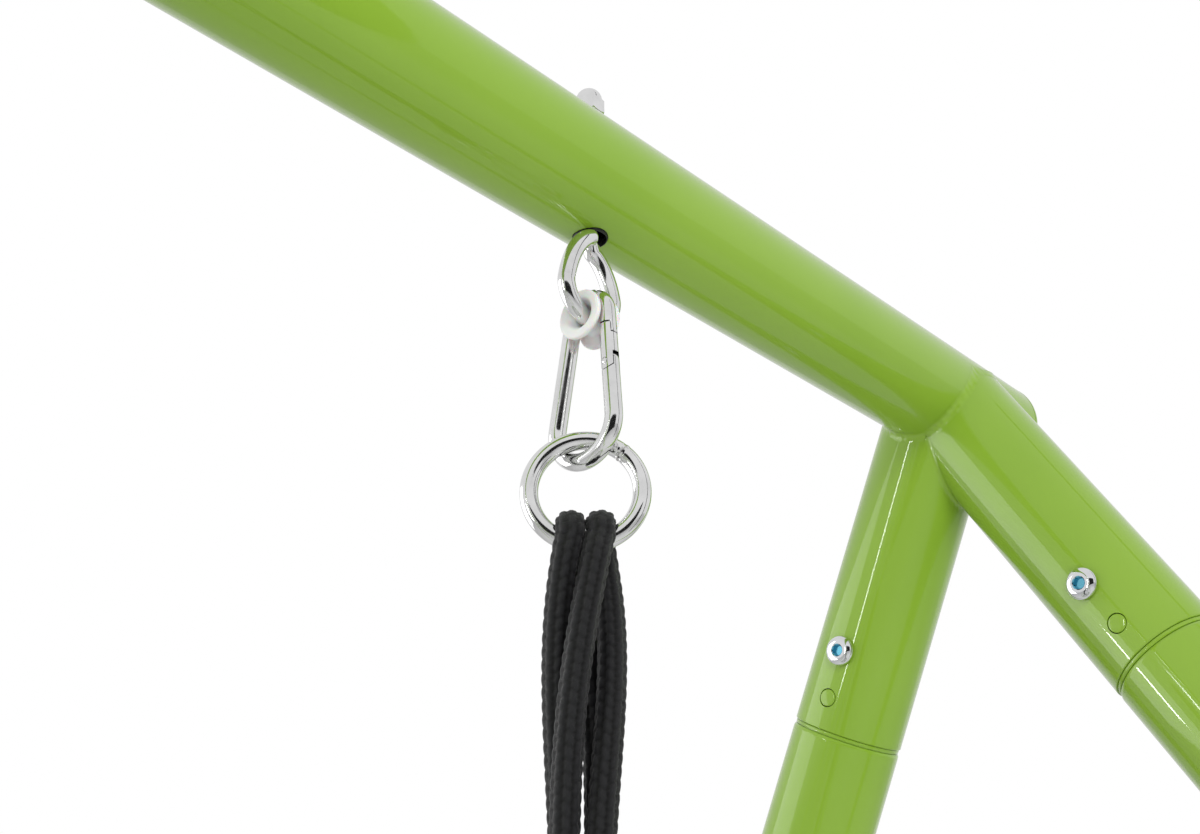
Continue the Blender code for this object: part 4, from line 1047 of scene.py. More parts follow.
def make_leg(name, end, leg):
    """The upper and lower tube of a leg, the rubber foot."""
    matrix = leg_axes(end, leg)
    leg_end = (BAR_HEIGHT - LEG_END_HEIGHT) * math.sqrt(1.0 + LEG_LEAN_X ** 2 + LEG_SPREAD_Y ** 2)
    upper_walls = swaged_profile(UPPER_NECK_START, SOCKET_END, UPPER_END)
    lower_walls = swaged_profile(LOWER_NECK_START, UPPER_END, leg_end)
    upper = turned(f"upper_tube_{name}", upper_walls, matrix, PAINT)
    lower = turned(f"lower_tube_{name}", lower_walls, matrix, PAINT)
    for tube, distance in ((upper, SOCKET_SCREW), (upper, LEG_JOINT_SCREW), (lower, LEG_JOINT_SCREW)):
        combine(tube, drill("bolt_hole", across(end, leg, distance), SCREW_RADIUS + GAP, -0.05, 0.05))
    combine(upper, drill("button_hole", across(end, leg, SNAP_BUTTON), BUTTON_HOLE, 0.0, 0.05))
    neck = LEG_RADIUS - LEG_WALL - GAP
    walls = [(LEG_RADIUS, 1.0), (LEG_RADIUS - LEG_WALL, -1.0), (neck, 1.0), (neck - LEG_WALL, -1.0)]
    for tube, node_name in ((upper, f"upper_leg_{name}"), (lower, f"lower_leg_{name}")):
        smooth(tube, 50.0)
        true_tube_normals(tube, matrix, walls)
        place_piece(tube, "root", "green_powder_coat", node_name)
    make_foot(name, matrix, leg_end)


def make_foot(name, matrix, leg_end):
    """Rubber foot: a ribbed cup on the leg's end that stands on a round plate."""
    ground = matrix @ Vector((0.0, 0.0, leg_end))
    down = (matrix.to_3x3() @ UP).normalized()
    ground = ground - down * (ground.z / down.z)
    cup = [(0.0, leg_end + 0.080), (FOOT_RADIUS, leg_end + 0.080)]
    rib_start = FOOT_TOP + 0.010
    for rib in range(5):
        base = rib_start + 0.0066 * (4 - rib)
        cup += [(FOOT_RADIUS, base + 0.0046), (FOOT_RADIUS - 0.0009, base + 0.0040),
                (FOOT_RADIUS - 0.0009, base + 0.0026), (FOOT_RADIUS, base + 0.0020)]
    cup += rounded([(FOOT_RADIUS, FOOT_TOP + 0.006), (FOOT_RADIUS, FOOT_TOP), (LEG_RADIUS + GAP, FOOT_TOP),
                    (LEG_RADIUS + GAP, leg_end + GAP), (0.0, leg_end + GAP)],
                   [0.0, 0.0022, 0.0012, 0.001, 0.0], closed=False)
    foot = turned(f"foot_rubber_{name}", cup, matrix, BLACK_RUBBER, 72, closed=False)
    plate_profile = rounded([(0.0, FOOT_PLATE), (FOOT_PLATE_RADIUS, FOOT_PLATE), (FOOT_PLATE_RADIUS, 0.0002),
                             (0.0, 0.0002)], [0.0, 0.0030, 0.0008, 0.0], 6, closed=False)
    on_ground = Matrix.Translation((ground.x, ground.y, 0.0))
    plate = turned("foot_plate", plate_profile, on_ground, None, 96, closed=False)
    floor = box("floor_cut", (-0.2, -0.2, -0.2), (0.2, 0.2, 0.0002), on_ground)
    combine(foot, floor)
    combine(foot, plate, "UNION")
    combine(foot, drill("leg_cup", matrix, LEG_RADIUS + GAP, FOOT_TOP - 0.01, leg_end + GAP, 72))
    smooth(foot, 30.0)
    place_piece(foot, "root", "black_rubber", f"foot_{name}")


def hex_nut(name, seat, top, matrix):
    """A hexagon with its corners turned down at both faces."""
    hexagon = prism(name, polygon(NUT_CORNER_RADIUS, 6), seat, top, matrix)
    bevel = 0.0008
    lens = [(0.0, top), (NUT_CORNER_RADIUS - 1.3 * bevel, top), (NUT_CORNER_RADIUS + 0.0002, top - bevel),
            (NUT_CORNER_RADIUS + 0.0002, seat + bevel), (NUT_CORNER_RADIUS - 1.3 * bevel, seat), (0.0, seat)]
    return combine(hexagon, turned("nut_lens", lens, matrix, None, 72, closed=False), "INTERSECT")


def cap_nut(name, seat, matrix):
    """Domed nut on a matrix's Z axis, its seat at a height."""
    top = seat + NUT_HEX
    nut = hex_nut(name, seat, top, matrix)
    dome = [(0.0, top + NUT_DOME)]
    for step in range(1, 13):
        angle = 0.5 * math.pi * step / 12
        dome.append((NUT_DOME_RADIUS * math.sin(angle),
                     top + 0.15 * NUT_DOME + 0.85 * NUT_DOME * math.cos(angle)))
    dome += [(NUT_DOME_RADIUS, top - 0.002), (0.0, top - 0.002)]
    return combine(nut, turned("nut_dome", dome, matrix, None, 48, closed=False), "UNION")


def make_bolts():
    """Button-head bolts through the sockets and the leg joints, with their domed nuts."""
    under = LEG_RADIUS + GAP
    top = under + SCREW_HEAD
    head = [(0.0, top)]
    for step in range(0, 11):
        angle = 0.5 * math.pi * step / 10
        head.append((SCREW_CROWN_RADIUS + (SCREW_HEAD_RADIUS - SCREW_CROWN_RADIUS) * math.sin(angle),
                     under + 0.0008 + (SCREW_HEAD - 0.0008) * math.cos(angle)))
    tip = -LEG_RADIUS - SCREW_TAIL
    head += [(SCREW_HEAD_RADIUS - 0.0002, under), (SCREW_RADIUS, under), (SCREW_RADIUS, tip), (0.0, tip)]
    bolt = turned("bolt", head, Matrix(), None, 64, closed=False)
    key = prism("hex_key", polygon(HEX_KEY_RADIUS, 6), top - HEX_KEY_DEPTH, top + 0.001, Matrix())
    flare = turned("key_flare", [(0.0, top + 0.0002), (HEX_KEY_RADIUS + 0.0004, top + 0.0002),
                                 (HEX_KEY_RADIUS - 0.0004, top - 0.0006), (0.0, top - 0.0006)],
                   Matrix(), None, 48, closed=False)
    combine(bolt, key)
    combine(bolt, flare)
    combine(bolt, cap_nut("bolt_nut", LEG_RADIUS + GAP, Matrix.Rotation(math.pi, 4, "X")), "UNION")
    smooth(bolt, 30.0)
    inner = bolt.data.attributes.new("recess", "BOOLEAN", "FACE")
    for face, entry in zip(bolt.data.polygons, inner.data):
        centre = face.center
        in_key = math.hypot(centre.x, centre.y) < HEX_KEY_RADIUS
        entry.value = in_key and top - 1.1 * HEX_KEY_DEPTH < centre.z < top + 1e-5
    places = [across(end, leg, distance)
              for distance in (SOCKET_SCREW, LEG_JOINT_SCREW) for _, end, leg in all_legs()]
    bolts = set_out("frame_bolts", bolt, places, CHROME, RECESS)
    nodes = [f"{kind}_{name}" for kind in ("socket_bolt", "leg_joint_bolt") for name, _, _ in all_legs()]
    place_piece(bolts, "root", "zinc_plate", *nodes)


def make_buttons():
    """Snap buttons, each on its own spring, painted with the leg."""
    low = LEG_RADIUS - 2.0 * LEG_WALL - GAP - BUTTON_DEPTH
    flange = low + BUTTON_FLANGE
    profile = rounded([(0.0, LEG_RADIUS + 0.0002), (BUTTON_RADIUS, LEG_RADIUS), (BUTTON_RADIUS, flange),
                       (BUTTON_FLANGE_RADIUS, flange), (BUTTON_FLANGE_RADIUS, low), (0.0, low)],
                      [0.0, 0.0007, 0.0003, 0.0003, 0.0003, 0.0], closed=False)
    for name, end, leg in all_legs():
        button = turned(f"button_{name}", profile, across(end, leg, SNAP_BUTTON), PAINT, 64, closed=False)
        place_piece(smooth(button), f"button_{name}", "green_powder_coat", f"snap_button_{name}")


make_crossbar()
for leg_name, end_sign, leg_sign in all_legs():
    make_socket(leg_name, end_sign, leg_sign)
    make_leg(leg_name, end_sign, leg_sign)
for end_name, end_sign in ENDS.items():
    make_welds(end_name, end_sign)
make_bolts()
make_buttons()


# Hangers


def eye_route(end):
    """An eye bolt's wire: its cut end, round the eye, then up the shank."""
    points = []
    rise = EYE_SIDE_DROP - EYE_TOP_DROP
    for step in range(16):
        angle = EYE_TIP_ANGLE + (0.5 * math.pi - EYE_TIP_ANGLE) * step / 16
        points.append((-EYE_HALF_WIDTH * math.sin(angle), -EYE_TIP_Y * math.cos(angle),
                       -EYE_SIDE_DROP + rise * math.cos(angle)))
    for step in range(24):
        angle = math.pi + math.pi * step / 24
        points.append((EYE_HALF_WIDTH * math.cos(angle), 0.0,
                       -EYE_SIDE_DROP + EYE_HALF_WIDTH * math.sin(angle)))
    for step in range(13):
        angle = 0.5 * math.pi - (0.5 * math.pi - EYE_NECK_ANGLE) * step / 12
        points.append((EYE_HALF_WIDTH * math.sin(angle), EYE_NECK_Y * math.cos(angle),
                       -EYE_SIDE_DROP + rise * math.cos(angle)))
    shank = -HANGER_SHIFT_X
    points += [(0.0022 + shank, 0.0022, -0.0297), (0.0004 + shank, 0.0008, -0.0240), (shank, 0.0, -0.0180),
               (shank, 0.0, SHANK_RISE)]
    middle = Vector((end * (EYE_X + HANGER_SHIFT_X), 0.0, BAR_HEIGHT))
    return [middle + Vector((end * x, end * y, z)) for x, y, z in points]


def make_eye_bolts():
    """Eye bolts, and the washers, nuts and grommets on them."""
    uprights = [Matrix.Translation((end * EYE_X, 0.0, BAR_HEIGHT)) for end in ENDS.values()]
    for name, end in ENDS.items():
        path = rest_path(eye_route(end), WIRE_STEP)
        shares = round_ends(len(path), WIRE_RADIUS, WIRE_STEP, 0.0010)
        eye = swept(f"eye_wire_{name}", path, shares * round_section(WIRE_RADIUS), Y_AXIS, ZINC)
        place_piece(smooth(eye), "root", "zinc_plate", f"eye_bolt_{name}")
    bore = SCREW_RADIUS + GAP
    low = BAR_RADIUS + GAP
    top = low + WASHER
    washer = turned("washer", rounded([(WASHER_RADIUS, top), (WASHER_RADIUS, low), (bore, low), (bore, top)],
                                      [0.0005, 0.0002, 0.0001, 0.0003]), Matrix(), None, 64)
    washers = set_out("hanger_washers", smooth(washer, 50.0), uprights, ZINC)
    place_piece(washers, "root", "zinc_plate", "hanger_washer_left", "hanger_washer_right")
    nut_low = top + GAP
    nut_high = nut_low + LOCK_NUT
    lock = hex_nut("lock_nut", nut_low, nut_high, Matrix())
    combine(lock, drill("lock_bore", Matrix(), bore, nut_low - 0.001, nut_high + 0.001))
    locks = set_out("hanger_lock_nuts", smooth(lock, 25.0), uprights, ZINC)
    place_piece(locks, "root", "zinc_plate", "hanger_lock_nut_left", "hanger_lock_nut_right")
    seat = nut_high + GAP
    cap = cap_nut("cap_nut", seat, Matrix())
    combine(cap, drill("cap_bore", Matrix(), bore, seat - 0.002, SHANK_RISE + GAP))
    caps = set_out("hanger_cap_nuts", smooth(cap, 25.0), uprights, ZINC)
    place_piece(caps, "root", "zinc_plate", "hanger_cap_nut_left", "hanger_cap_nut_right")
    outer = HOLE_RADIUS - GAP
    inner = outer - GROMMET_WALL
    under = -BAR_RADIUS - GROMMET_LIP
    inside = -BAR_RADIUS + GROMMET_DEPTH
    profile = [(outer, inside), (outer, under), (inner, under), (inner, inside)]
    grommet = turned("grommet", rounded(profile, [0.0003, 0.0005, 0.0003, 0.0003]), Matrix(), None, 64)
    mouths = [mouth_axes(end) for end in ENDS.values()]
    grommets = set_out("bar_grommets", smooth(grommet, 50.0), mouths, BLACK_PLASTIC)
    place_piece(grommets, "root", "black_plastic", "bar_grommet_left", "bar_grommet_right")


def limb(side):
    """Tangent points of the hook's straight limb on a side (-1 gate, +1 spine), as (y, z), and its angle."""
    top = Vector((0.0, -PIVOT_DROP))
    low = Vector((HOOK_BOW_Y, -HOOK_BOW_DROP))
    span = low - top
    lean = math.acos((HOOK_TOP_RADIUS - HOOK_BOW_RADIUS) / span.length)
    angle = math.atan2(span.y, span.x) + side * lean
    normal = Vector((math.cos(angle), math.sin(angle)))
    return top + normal * HOOK_TOP_RADIUS, low + normal * HOOK_BOW_RADIUS, angle


def on_gate_limb(drop):
    """Point (y, z) on the gate limb's axis at a height below the crossbar's axis."""
    top, low, _ = limb(-1)
    share = (-drop - top.y) / (low.y - top.y)
    return top + (low - top) * share


def hook_route(x):
    """A snap hook's wire from its nose, round the top, spine and bow, up to the gate's pin."""
    _, _, gate_angle = limb(-1)
    _, _, spine_angle = limb(1)
    gate_angle %= math.tau
    top = Vector((0.0, -PIVOT_DROP))
    low = Vector((HOOK_BOW_Y, -HOOK_BOW_DROP))
    points = [on_gate_limb(NOSE_DROP)]
    for step in range(33):
        angle = gate_angle + (spine_angle - gate_angle) * step / 32
        points.append(top + HOOK_TOP_RADIUS * Vector((math.cos(angle), math.sin(angle))))
    for step in range(41):
        angle = spine_angle + (gate_angle - math.tau - spine_angle) * step / 40
        points.append(low + HOOK_BOW_RADIUS * Vector((math.cos(angle), math.sin(angle))))
    points.append(on_gate_limb(GATE_PIN_DROP - TONGUE_RISE))
    return np.array([(x, y, BAR_HEIGHT + z) for y, z in points])


def gate_axes(x):
    """Matrix with its local Z up the gate limb and its origin on the gate's pin."""
    pin = on_gate_limb(GATE_PIN_DROP)
    top = on_gate_limb(GATE_TOP_DROP)
    return frame_at((x, pin.x, BAR_HEIGHT + pin.y), (0.0, top.x - pin.x, top.y - pin.y), X_AXIS)


def make_hook(name, end):
    """Snap hook with a flattened nose and tongue, its gate and the gate's pin."""
    x = end * (EYE_X + HANGER_SHIFT_X)
    path = even(hook_route(x), WIRE_STEP)
    shares = round_ends(len(path), WIRE_RADIUS, WIRE_STEP, 0.0004)
    hook = swept(f"hook_{name}", path, shares * round_section(WIRE_RADIUS), X_AXIS, ZINC)
    matrix = gate_axes(x)
    cross = matrix @ Matrix.Rotation(math.radians(90.0), 4, "Y")
    pin = GATE_PIN_RADIUS
    wide = 1.5 * WIRE_RADIUS
    nose_low = GATE_PIN_DROP - NOSE_DROP - 0.001
    nose_high = GATE_PIN_DROP - GATE_LIP_DROP + 0.0005
    for side in (-1, 1):
        near = sorted((side * NOSE_HALF_WIDTH, side * wide))
        combine(hook, box("nose_flat", (near[0], -wide, nose_low), (near[1], wide, nose_high), matrix))
        near = sorted((side * TONGUE_HALF_WIDTH, side * wide))
        combine(hook, box("tongue_flat", (near[0], -wide, 0.0), (near[1], wide, 0.006), matrix))
        combine(hook, drill("tongue_seat", cross, WIRE_RADIUS + GAP, near[0], near[1], 96))
    combine(hook, drill("pin_hole", cross, pin + 0.0001, -wide, wide, 24))
    place_piece(smooth(hook), f"hanger_{name}", "zinc_plate", f"snap_hook_{name}")
    lip = GATE_PIN_DROP - GATE_LIP_DROP
    top = GATE_PIN_DROP - GATE_TOP_DROP
    heel = drill("gate_heel", cross, WIRE_RADIUS - 0.0001, -wide, wide, 96)
    combine(heel, box("gate_limb", (-wide, -wide, 0.0), (wide, wide, lip + 0.001), matrix), "UNION")
    barrel = rounded([(0.0, lip), (WIRE_RADIUS, lip), (WIRE_RADIUS, -wide), (0.0, -wide)],
                     [0.0, 0.0005, 0.0, 0.0], closed=False)
    gate = turned(f"gate_{name}", barrel, matrix, ZINC, 64, closed=False)
    combine(gate, heel, "INTERSECT")
    for side in (-1, 1):
        near = sorted((side * GATE_HALF_WIDTH, side * wide))
        combine(gate, box("gate_flat", (near[0], -wide, -wide), (near[1], wide, lip + 0.001), matrix))
    slot = NOSE_HALF_WIDTH + GAP
    combine(gate, box("gate_slot", (-slot, -wide, top), (slot, wide, lip + 0.001), matrix))
    fork = TONGUE_HALF_WIDTH + GAP
    combine(gate, box("gate_fork", (-fork, -wide, -wide), (fork, wide, WIRE_RADIUS + FORK_CLEARANCE), matrix))
    combine(gate, drill("pin_hole", cross, pin + 0.0001, -wide, wide, 24))
    place_piece(smooth(gate), f"gate_{name}", "zinc_plate", f"hook_gate_{name}")
    rivet_profile = rounded([(0.0, GATE_HALF_WIDTH + 0.0002), (pin, GATE_HALF_WIDTH + 0.0001),
                             (pin, -GATE_HALF_WIDTH - 0.0001), (0.0, -GATE_HALF_WIDTH - 0.0002)],
                            [0.0, 0.0004, 0.0004, 0.0], closed=False)
    rivet = turned(f"rivet_{name}", rivet_profile, cross, ZINC, 24, closed=False)
    place_piece(smooth(rivet), f"hanger_{name}", "zinc_plate", f"gate_pin_{name}")


def make_bush(name, end):
    """Nylon spool bush: a groove for the hook outside, a bell-mouthed bore for the eye inside."""
    down = [*BUSH_OUTSIDE, *((r, -z) for r, z in reversed(BUSH_OUTSIDE[:-1]))]
    up = [*((r, -z) for r, z in BUSH_BORE), *reversed(BUSH_BORE[:-1])]
    centre = (end * (EYE_X + HANGER_SHIFT_X), 0.0, BAR_HEIGHT - PIVOT_DROP)
    matrix = frame_at(centre, X_AXIS, Z_AXIS)
    bush = turned(f"bush_{name}", rounded(down + up, 0.0012, 5), matrix, NYLON, 80)
    place_piece(smooth(bush, 60.0), f"hanger_{name}", "white_nylon", f"spool_bush_{name}")


def ring_axes(end):
    """Centre of a ring, its level direction and its normal, which points away from the front."""
    centre = Vector((end * (EYE_X + HANGER_SHIFT_X), HOOK_BOW_Y, BAR_HEIGHT - RING_DROP))
    level = Vector((end * math.sin(RING_TURN), -math.cos(RING_TURN), 0.0))
    normal = Vector((end * math.cos(RING_TURN), math.sin(RING_TURN), 0.0))
    return centre, level, normal


def make_ring(name, end):
    """Ring of bent wire with its butt weld."""
    centre, level, normal = ring_axes(end)
    angles = full_turn(RING_STATIONS)
    path = np.array([tuple(centre + RING_RADIUS * (math.cos(a) * level + math.sin(a) * UP)) for a in angles])
    away = (angles - RING_WELD_ANGLE + math.pi) % math.tau - math.pi
    bead = 0.035 * np.exp(-(away * RING_RADIUS / 0.0006) ** 2)
    undercut = 0.02 * np.exp(-((np.abs(away) * RING_RADIUS - 0.0013) / 0.0004) ** 2)
    section = (1.0 + bead - undercut)[:, None, None] * round_section(WIRE_RADIUS)
    ring = swept(f"steel_ring_{name}", path, section, tuple(normal), ZINC, closed=True)
    ring.data.materials.append(WELD_METAL)
    seam = centre + RING_RADIUS * (math.cos(RING_WELD_ANGLE) * level + math.sin(RING_WELD_ANGLE) * UP)
    along = level * (-math.sin(RING_WELD_ANGLE)) + UP * math.cos(RING_WELD_ANGLE)
    for face in ring.data.polygons:
        from_seam = Vector(face.center) - seam
        if from_seam.length < 0.0046 and abs(from_seam.dot(along)) < 0.0004:
            face.material_index = 1
    place_piece(smooth(ring, 60.0), "nest", "zinc_plate", f"ring_{name}")


make_eye_bolts()
for end_name, end_sign in ENDS.items():
    make_bush(end_name, end_sign)
    make_hook(end_name, end_sign)
    make_ring(end_name, end_sign)


# Ropes


def rim_point(end, leg, angle):
    """Point on the padded rim's centre line where a strand is held."""
    turn = math.radians(angle)
    radius = RIM_RADIUS * math.cos(0.5 * RIM_ANGLE)
    return Vector((end * radius * math.cos(turn), leg * radius * math.sin(turn), RIM_HEIGHT))


def hold_axes(end, leg, angle, fan):
    """Matrix at a rope's hold on the rim: local Z runs up the strand, local X away from the nest."""
    rim = rim_point(end, leg, angle)
    return frame_at(rim, fan - rim, (rim.x, rim.y, 0.0))


def loop_route(matrix, steps=20):
    """A rope's end: its tail in the ferrule, round the padded rim, back up past the ferrule."""
    round_pad = PAD_RADIUS + GAP + ROPE_RADIUS
    turn = matrix.to_3x3()
    along = UP.cross(turn @ Vector(X_AXIS)).normalized()
    lean = math.asin(abs(along.dot(turn @ UP)))
    reach = math.hypot(FERRULE_START, STRAND_OFFSET)
    leave = math.acos(round_pad / reach) + math.atan2(STRAND_OFFSET, FERRULE_START)
    half_step = (math.pi - leave) / steps
    wide = round_pad / math.cos(half_step)
    tall = wide / math.cos(lean)
    local = [(STRAND_OFFSET, FERRULE_START + FERRULE_LENGTH + ROPE_TAIL), (STRAND_OFFSET, FERRULE_START)]
    for step in range(steps + 1):
        angle = leave + 2.0 * half_step * step
        local.append((wide * math.sin(angle), tall * math.cos(angle)))
    local += [(-STRAND_OFFSET, FERRULE_START), (-STRAND_OFFSET, FERRULE_START + FERRULE_LENGTH)]
    return [matrix @ Vector((x, 0.0, z)) for x, z in local]


def bridged(start, start_way, stop, stop_way, count):
    """Points of a cubic curve between two points with given directions, ends left out."""
    reach = (stop - start).length / 3.0
    first = start + start_way * reach
    second = stop - stop_way * reach
    points = []
    for step in range(1, count + 1):
        t = step / (count + 1)
        points.append((1 - t) ** 3 * start + 3 * t * (1 - t) ** 2 * first
                      + 3 * t * t * (1 - t) * second + t ** 3 * stop)
    return points


def sleeve_axis(end):
    """Point on the ground under the middle of a gathering sleeve."""
    centre, level, _ = ring_axes(end)
    return Vector((centre.x, centre.y, 0.0)) + level * SLEEVE_SHIFT


def strand_hold(loop, side):
    """Leg sign and hold angle of a strand; loop 1 is a ring's right-hand rope, side 1 its rear strand."""
    return -loop, INNER_HOLD if side < 0 else OUTER_HOLD


def strand_fan(end, loop, side):
    """Where a strand leaves its sleeve below, and the point from which it runs straight to the rim."""
    leg, angle = strand_hold(loop, side)
    bottom = sleeve_axis(end) + UP * (BAR_HEIGHT - SLEEVE_BOTTOM_DROP)
    bottom += Vector((end * side * STRAND_OFFSET, leg * STRAND_OFFSET, 0.0))
    rim = rim_point(end, leg, angle)
    return bottom, bottom + (rim - bottom) * FAN_SHARE - UP * FAN_DROP


def crossing(end, loop, side, share):
    """A strand's place between its ring, at share 0, and its sleeve's top, at share 1."""
    centre, level, normal = ring_axes(end)
    drop = math.sqrt(RING_RADIUS ** 2 - ROPE_OFFSET ** 2)
    start = (loop * ROPE_OFFSET, side * ROPE_BEND)
    radius = math.hypot(*start) + share * (math.sqrt(2.0) * STRAND_OFFSET - math.hypot(*start))
    from_angle = math.atan2(start[1], start[0])
    grid_angle = math.atan2(side, loop)
    angle = from_angle + share * (grid_angle - from_angle) + STRAND_CROSSING * math.sin(0.5 * math.pi * share)
    low = BAR_HEIGHT - SLEEVE_TOP_DROP
    height = (centre.z - drop) + share * (low - (centre.z - drop))
    middle = Vector((centre.x, centre.y, height)) + level * (share * SLEEVE_SHIFT)
    return middle + level * (radius * math.cos(angle)) + normal * (radius * math.sin(angle))


def strand_route(end, loop, side):
    """One strand from its loop on the rim up to where it meets its ring."""
    leg, angle = strand_hold(loop, side)
    axis = sleeve_axis(end)
    top = crossing(end, loop, side, 1.0)
    bottom, fan = strand_fan(end, loop, side)
    points = loop_route(hold_axes(end, leg, angle, fan))
    start = points[-1]
    points += [start + (fan - start) * share for share in (0.25, 0.5, 0.75, 1.0)]
    points += bridged(fan, (fan - start).normalized(), bottom, UP, 3)
    radius = math.sqrt(2.0) * STRAND_OFFSET
    first = math.atan2(bottom.y - axis.y, bottom.x - axis.x)
    last = math.atan2(top.y - axis.y, top.x - axis.x)
    swing = (last - first + math.pi) % math.tau - math.pi
    for step in range(7):
        turn = first + swing * step / 6
        height = bottom.z + (top.z - bottom.z) * step / 6
        points.append(Vector((axis.x + radius * math.cos(turn), axis.y + radius * math.sin(turn), height)))
    return points + [crossing(end, loop, side, 1.0 - step / 12) for step in range(1, 12)]


def rope_route(end, loop):
    """A whole rope: inner hold, sleeve, over the ring, sleeve, outer hold."""
    centre, level, normal = ring_axes(end)
    drop = math.sqrt(RING_RADIUS ** 2 - ROPE_OFFSET ** 2)
    middle = centre + level * (loop * ROPE_OFFSET) - UP * drop
    over = [middle - normal * (ROPE_BEND * math.cos(turn)) + UP * (ROPE_BEND * math.sin(turn))
            for turn in np.linspace(0.0, math.pi, 13)]
    return strand_route(end, loop, -1) + over + strand_route(end, loop, 1)[::-1]


def braid(around, along, girth):
    """Height of a plait's strands, 0 to 1, and the place on the strand, across and along it."""
    best = np.zeros_like(around)
    across_strand = np.zeros_like(around)
    along_strand = np.zeros_like(around)
    column = np.floor(around * STRAND_COLUMNS)
    row = np.floor(along / STRAND_PITCH)
    width = girth / STRAND_COLUMNS
    for side in (-1, 0, 1):
        for step in (-1, 0, 1, 2):
            here = column + side
            odd = np.mod(here, 2.0)
            middle = (row + step + 0.5 * odd) * STRAND_PITCH
            u = (around * STRAND_COLUMNS - here - 0.5) * width
            v = along - middle
            slant = STRAND_SLANT * (1.0 - 2.0 * odd)
            a = u * np.cos(slant) + v * np.sin(slant)
            b = -u * np.sin(slant) + v * np.cos(slant)
            wide = a / STRAND_HALF_WIDTH
            long = b / STRAND_HALF_LENGTH
            height = np.sqrt(np.clip(1.0 - wide ** 2 - long ** 2, 0.0, 1.0))
            higher = height > best
            best = np.where(higher, height, best)
            across_strand = np.where(higher, wide, across_strand)
            along_strand = np.where(higher, long, along_strand)
    return best, across_strand, along_strand


def rope_stations(route):
    """Stations along a rope, closer together near the ring than near the nest."""
    fine = rest_path(route, 0.0002)
    lengths = run_along(fine)
    close = fine[:, 2] > BAR_HEIGHT - SLEEVE_TOP_DROP - 0.01
    density = np.where(close, 1.0 / ROPE_STEP_NEAR, 1.0 / ROPE_STEP_FAR)
    count = np.concatenate([[0.0], np.cumsum(0.5 * (density[1:] + density[:-1]) * np.diff(lengths))])
    stops = np.interp(np.arange(0.0, count[-1]), count, lengths)
    return points_at(stops, lengths, fine), stops


def plaited(name, path, run, hint, radius, finish, shape=None, closed=False):
    """A braided rope along a path, its strands raised, with coordinates on each strand."""
    scale = radius / ROPE_RADIUS
    _, side_a, side_b = sides_along(path, hint, closed)
    around = np.broadcast_to(np.arange(ROPE_SIDES) / ROPE_SIDES, (len(path), ROPE_SIDES))
    along = np.broadcast_to(run[:, None] / scale, around.shape)
    high, across_strand, along_strand = braid(around, along, math.tau * ROPE_RADIUS)
    core = scale * (ROPE_CORE + STRAND_HEIGHT * high)
    if not closed:
        end_run = np.minimum(run, run[-1] - run)
        core = core * np.sqrt(np.clip(0.08 + end_run / (0.5 * radius), 0.0, 1.0))[:, None]
    angle = math.tau * around
    out = np.cos(angle)[..., None] * side_a[:, None] + np.sin(angle)[..., None] * side_b[:, None]
    offset = core[..., None] * out
    if shape:
        offset = shape(path, offset)
    points = (path[:, None] + offset).reshape(-1, 3)
    faces = quads(len(path), ROPE_SIDES, closed)
    if not closed:
        last = [(len(path) - 1) * ROPE_SIDES + k for k in range(ROPE_SIDES)]
        faces = [*faces, list(range(ROPE_SIDES))[::-1], last]
    piece = new_piece(name, points, faces, finish)
    mesh = piece.data
    raised = mesh.attributes.new("height", "FLOAT", "POINT")
    raised.data.foreach_set("value", high.reshape(-1).astype(np.float32))
    corners = np.zeros(len(mesh.loops), int)
    mesh.loops.foreach_get("vertex_index", corners)
    pairs = np.stack([across_strand.reshape(-1)[corners], along_strand.reshape(-1)[corners]
                      + 3.0 * np.floor(along.reshape(-1)[corners] / STRAND_PITCH)], -1)
    layer = mesh.uv_layers.new(name="strand")
    layer.data.foreach_set("uv", pairs.reshape(-1).astype(np.float32))
    mesh.shade_smooth()
    return piece


def make_rope(name, end, loop, label):
    """One rope over a ring, pressed flatter where it lies on the ring's wire."""
    centre, level, _ = ring_axes(end)
    drop = math.sqrt(RING_RADIUS ** 2 - ROPE_OFFSET ** 2)
    middle = np.array(centre + level * (loop * ROPE_OFFSET) - UP * drop)
    flat = np.array(level)

    def pressed(path, offset):
        """Flatten the rope on the wire and draw it down onto it."""
        away = path - middle
        away -= (away @ flat)[:, None] * flat
        distance = np.linalg.norm(away, axis=1)
        radial = away / np.maximum(distance, 1e-6)[:, None]
        t = np.clip((path[:, 2] - middle[2] + 0.013) / 0.015, 0.0, 1.0)
        t = np.where(distance < 0.03, t * t * (3 - 2 * t), 0.0)
        in_out = (offset * radial[:, None]).sum(-1)
        sideways = offset @ flat
        offset = offset - (0.24 * t)[:, None, None] * in_out[..., None] * radial[:, None]
        offset = offset + (0.04 * t)[:, None, None] * sideways[..., None] * flat
        return offset - (0.0019 * t)[:, None, None] * radial[:, None]

    path, run = rope_stations(rope_route(end, loop))
    rope = plaited(f"braided_rope_{name}_{label}", path, run, Z_AXIS, ROPE_RADIUS, ROPE, pressed)
    return place_piece(rope, "nest", "black_rope", f"rope_{name}_{label}")


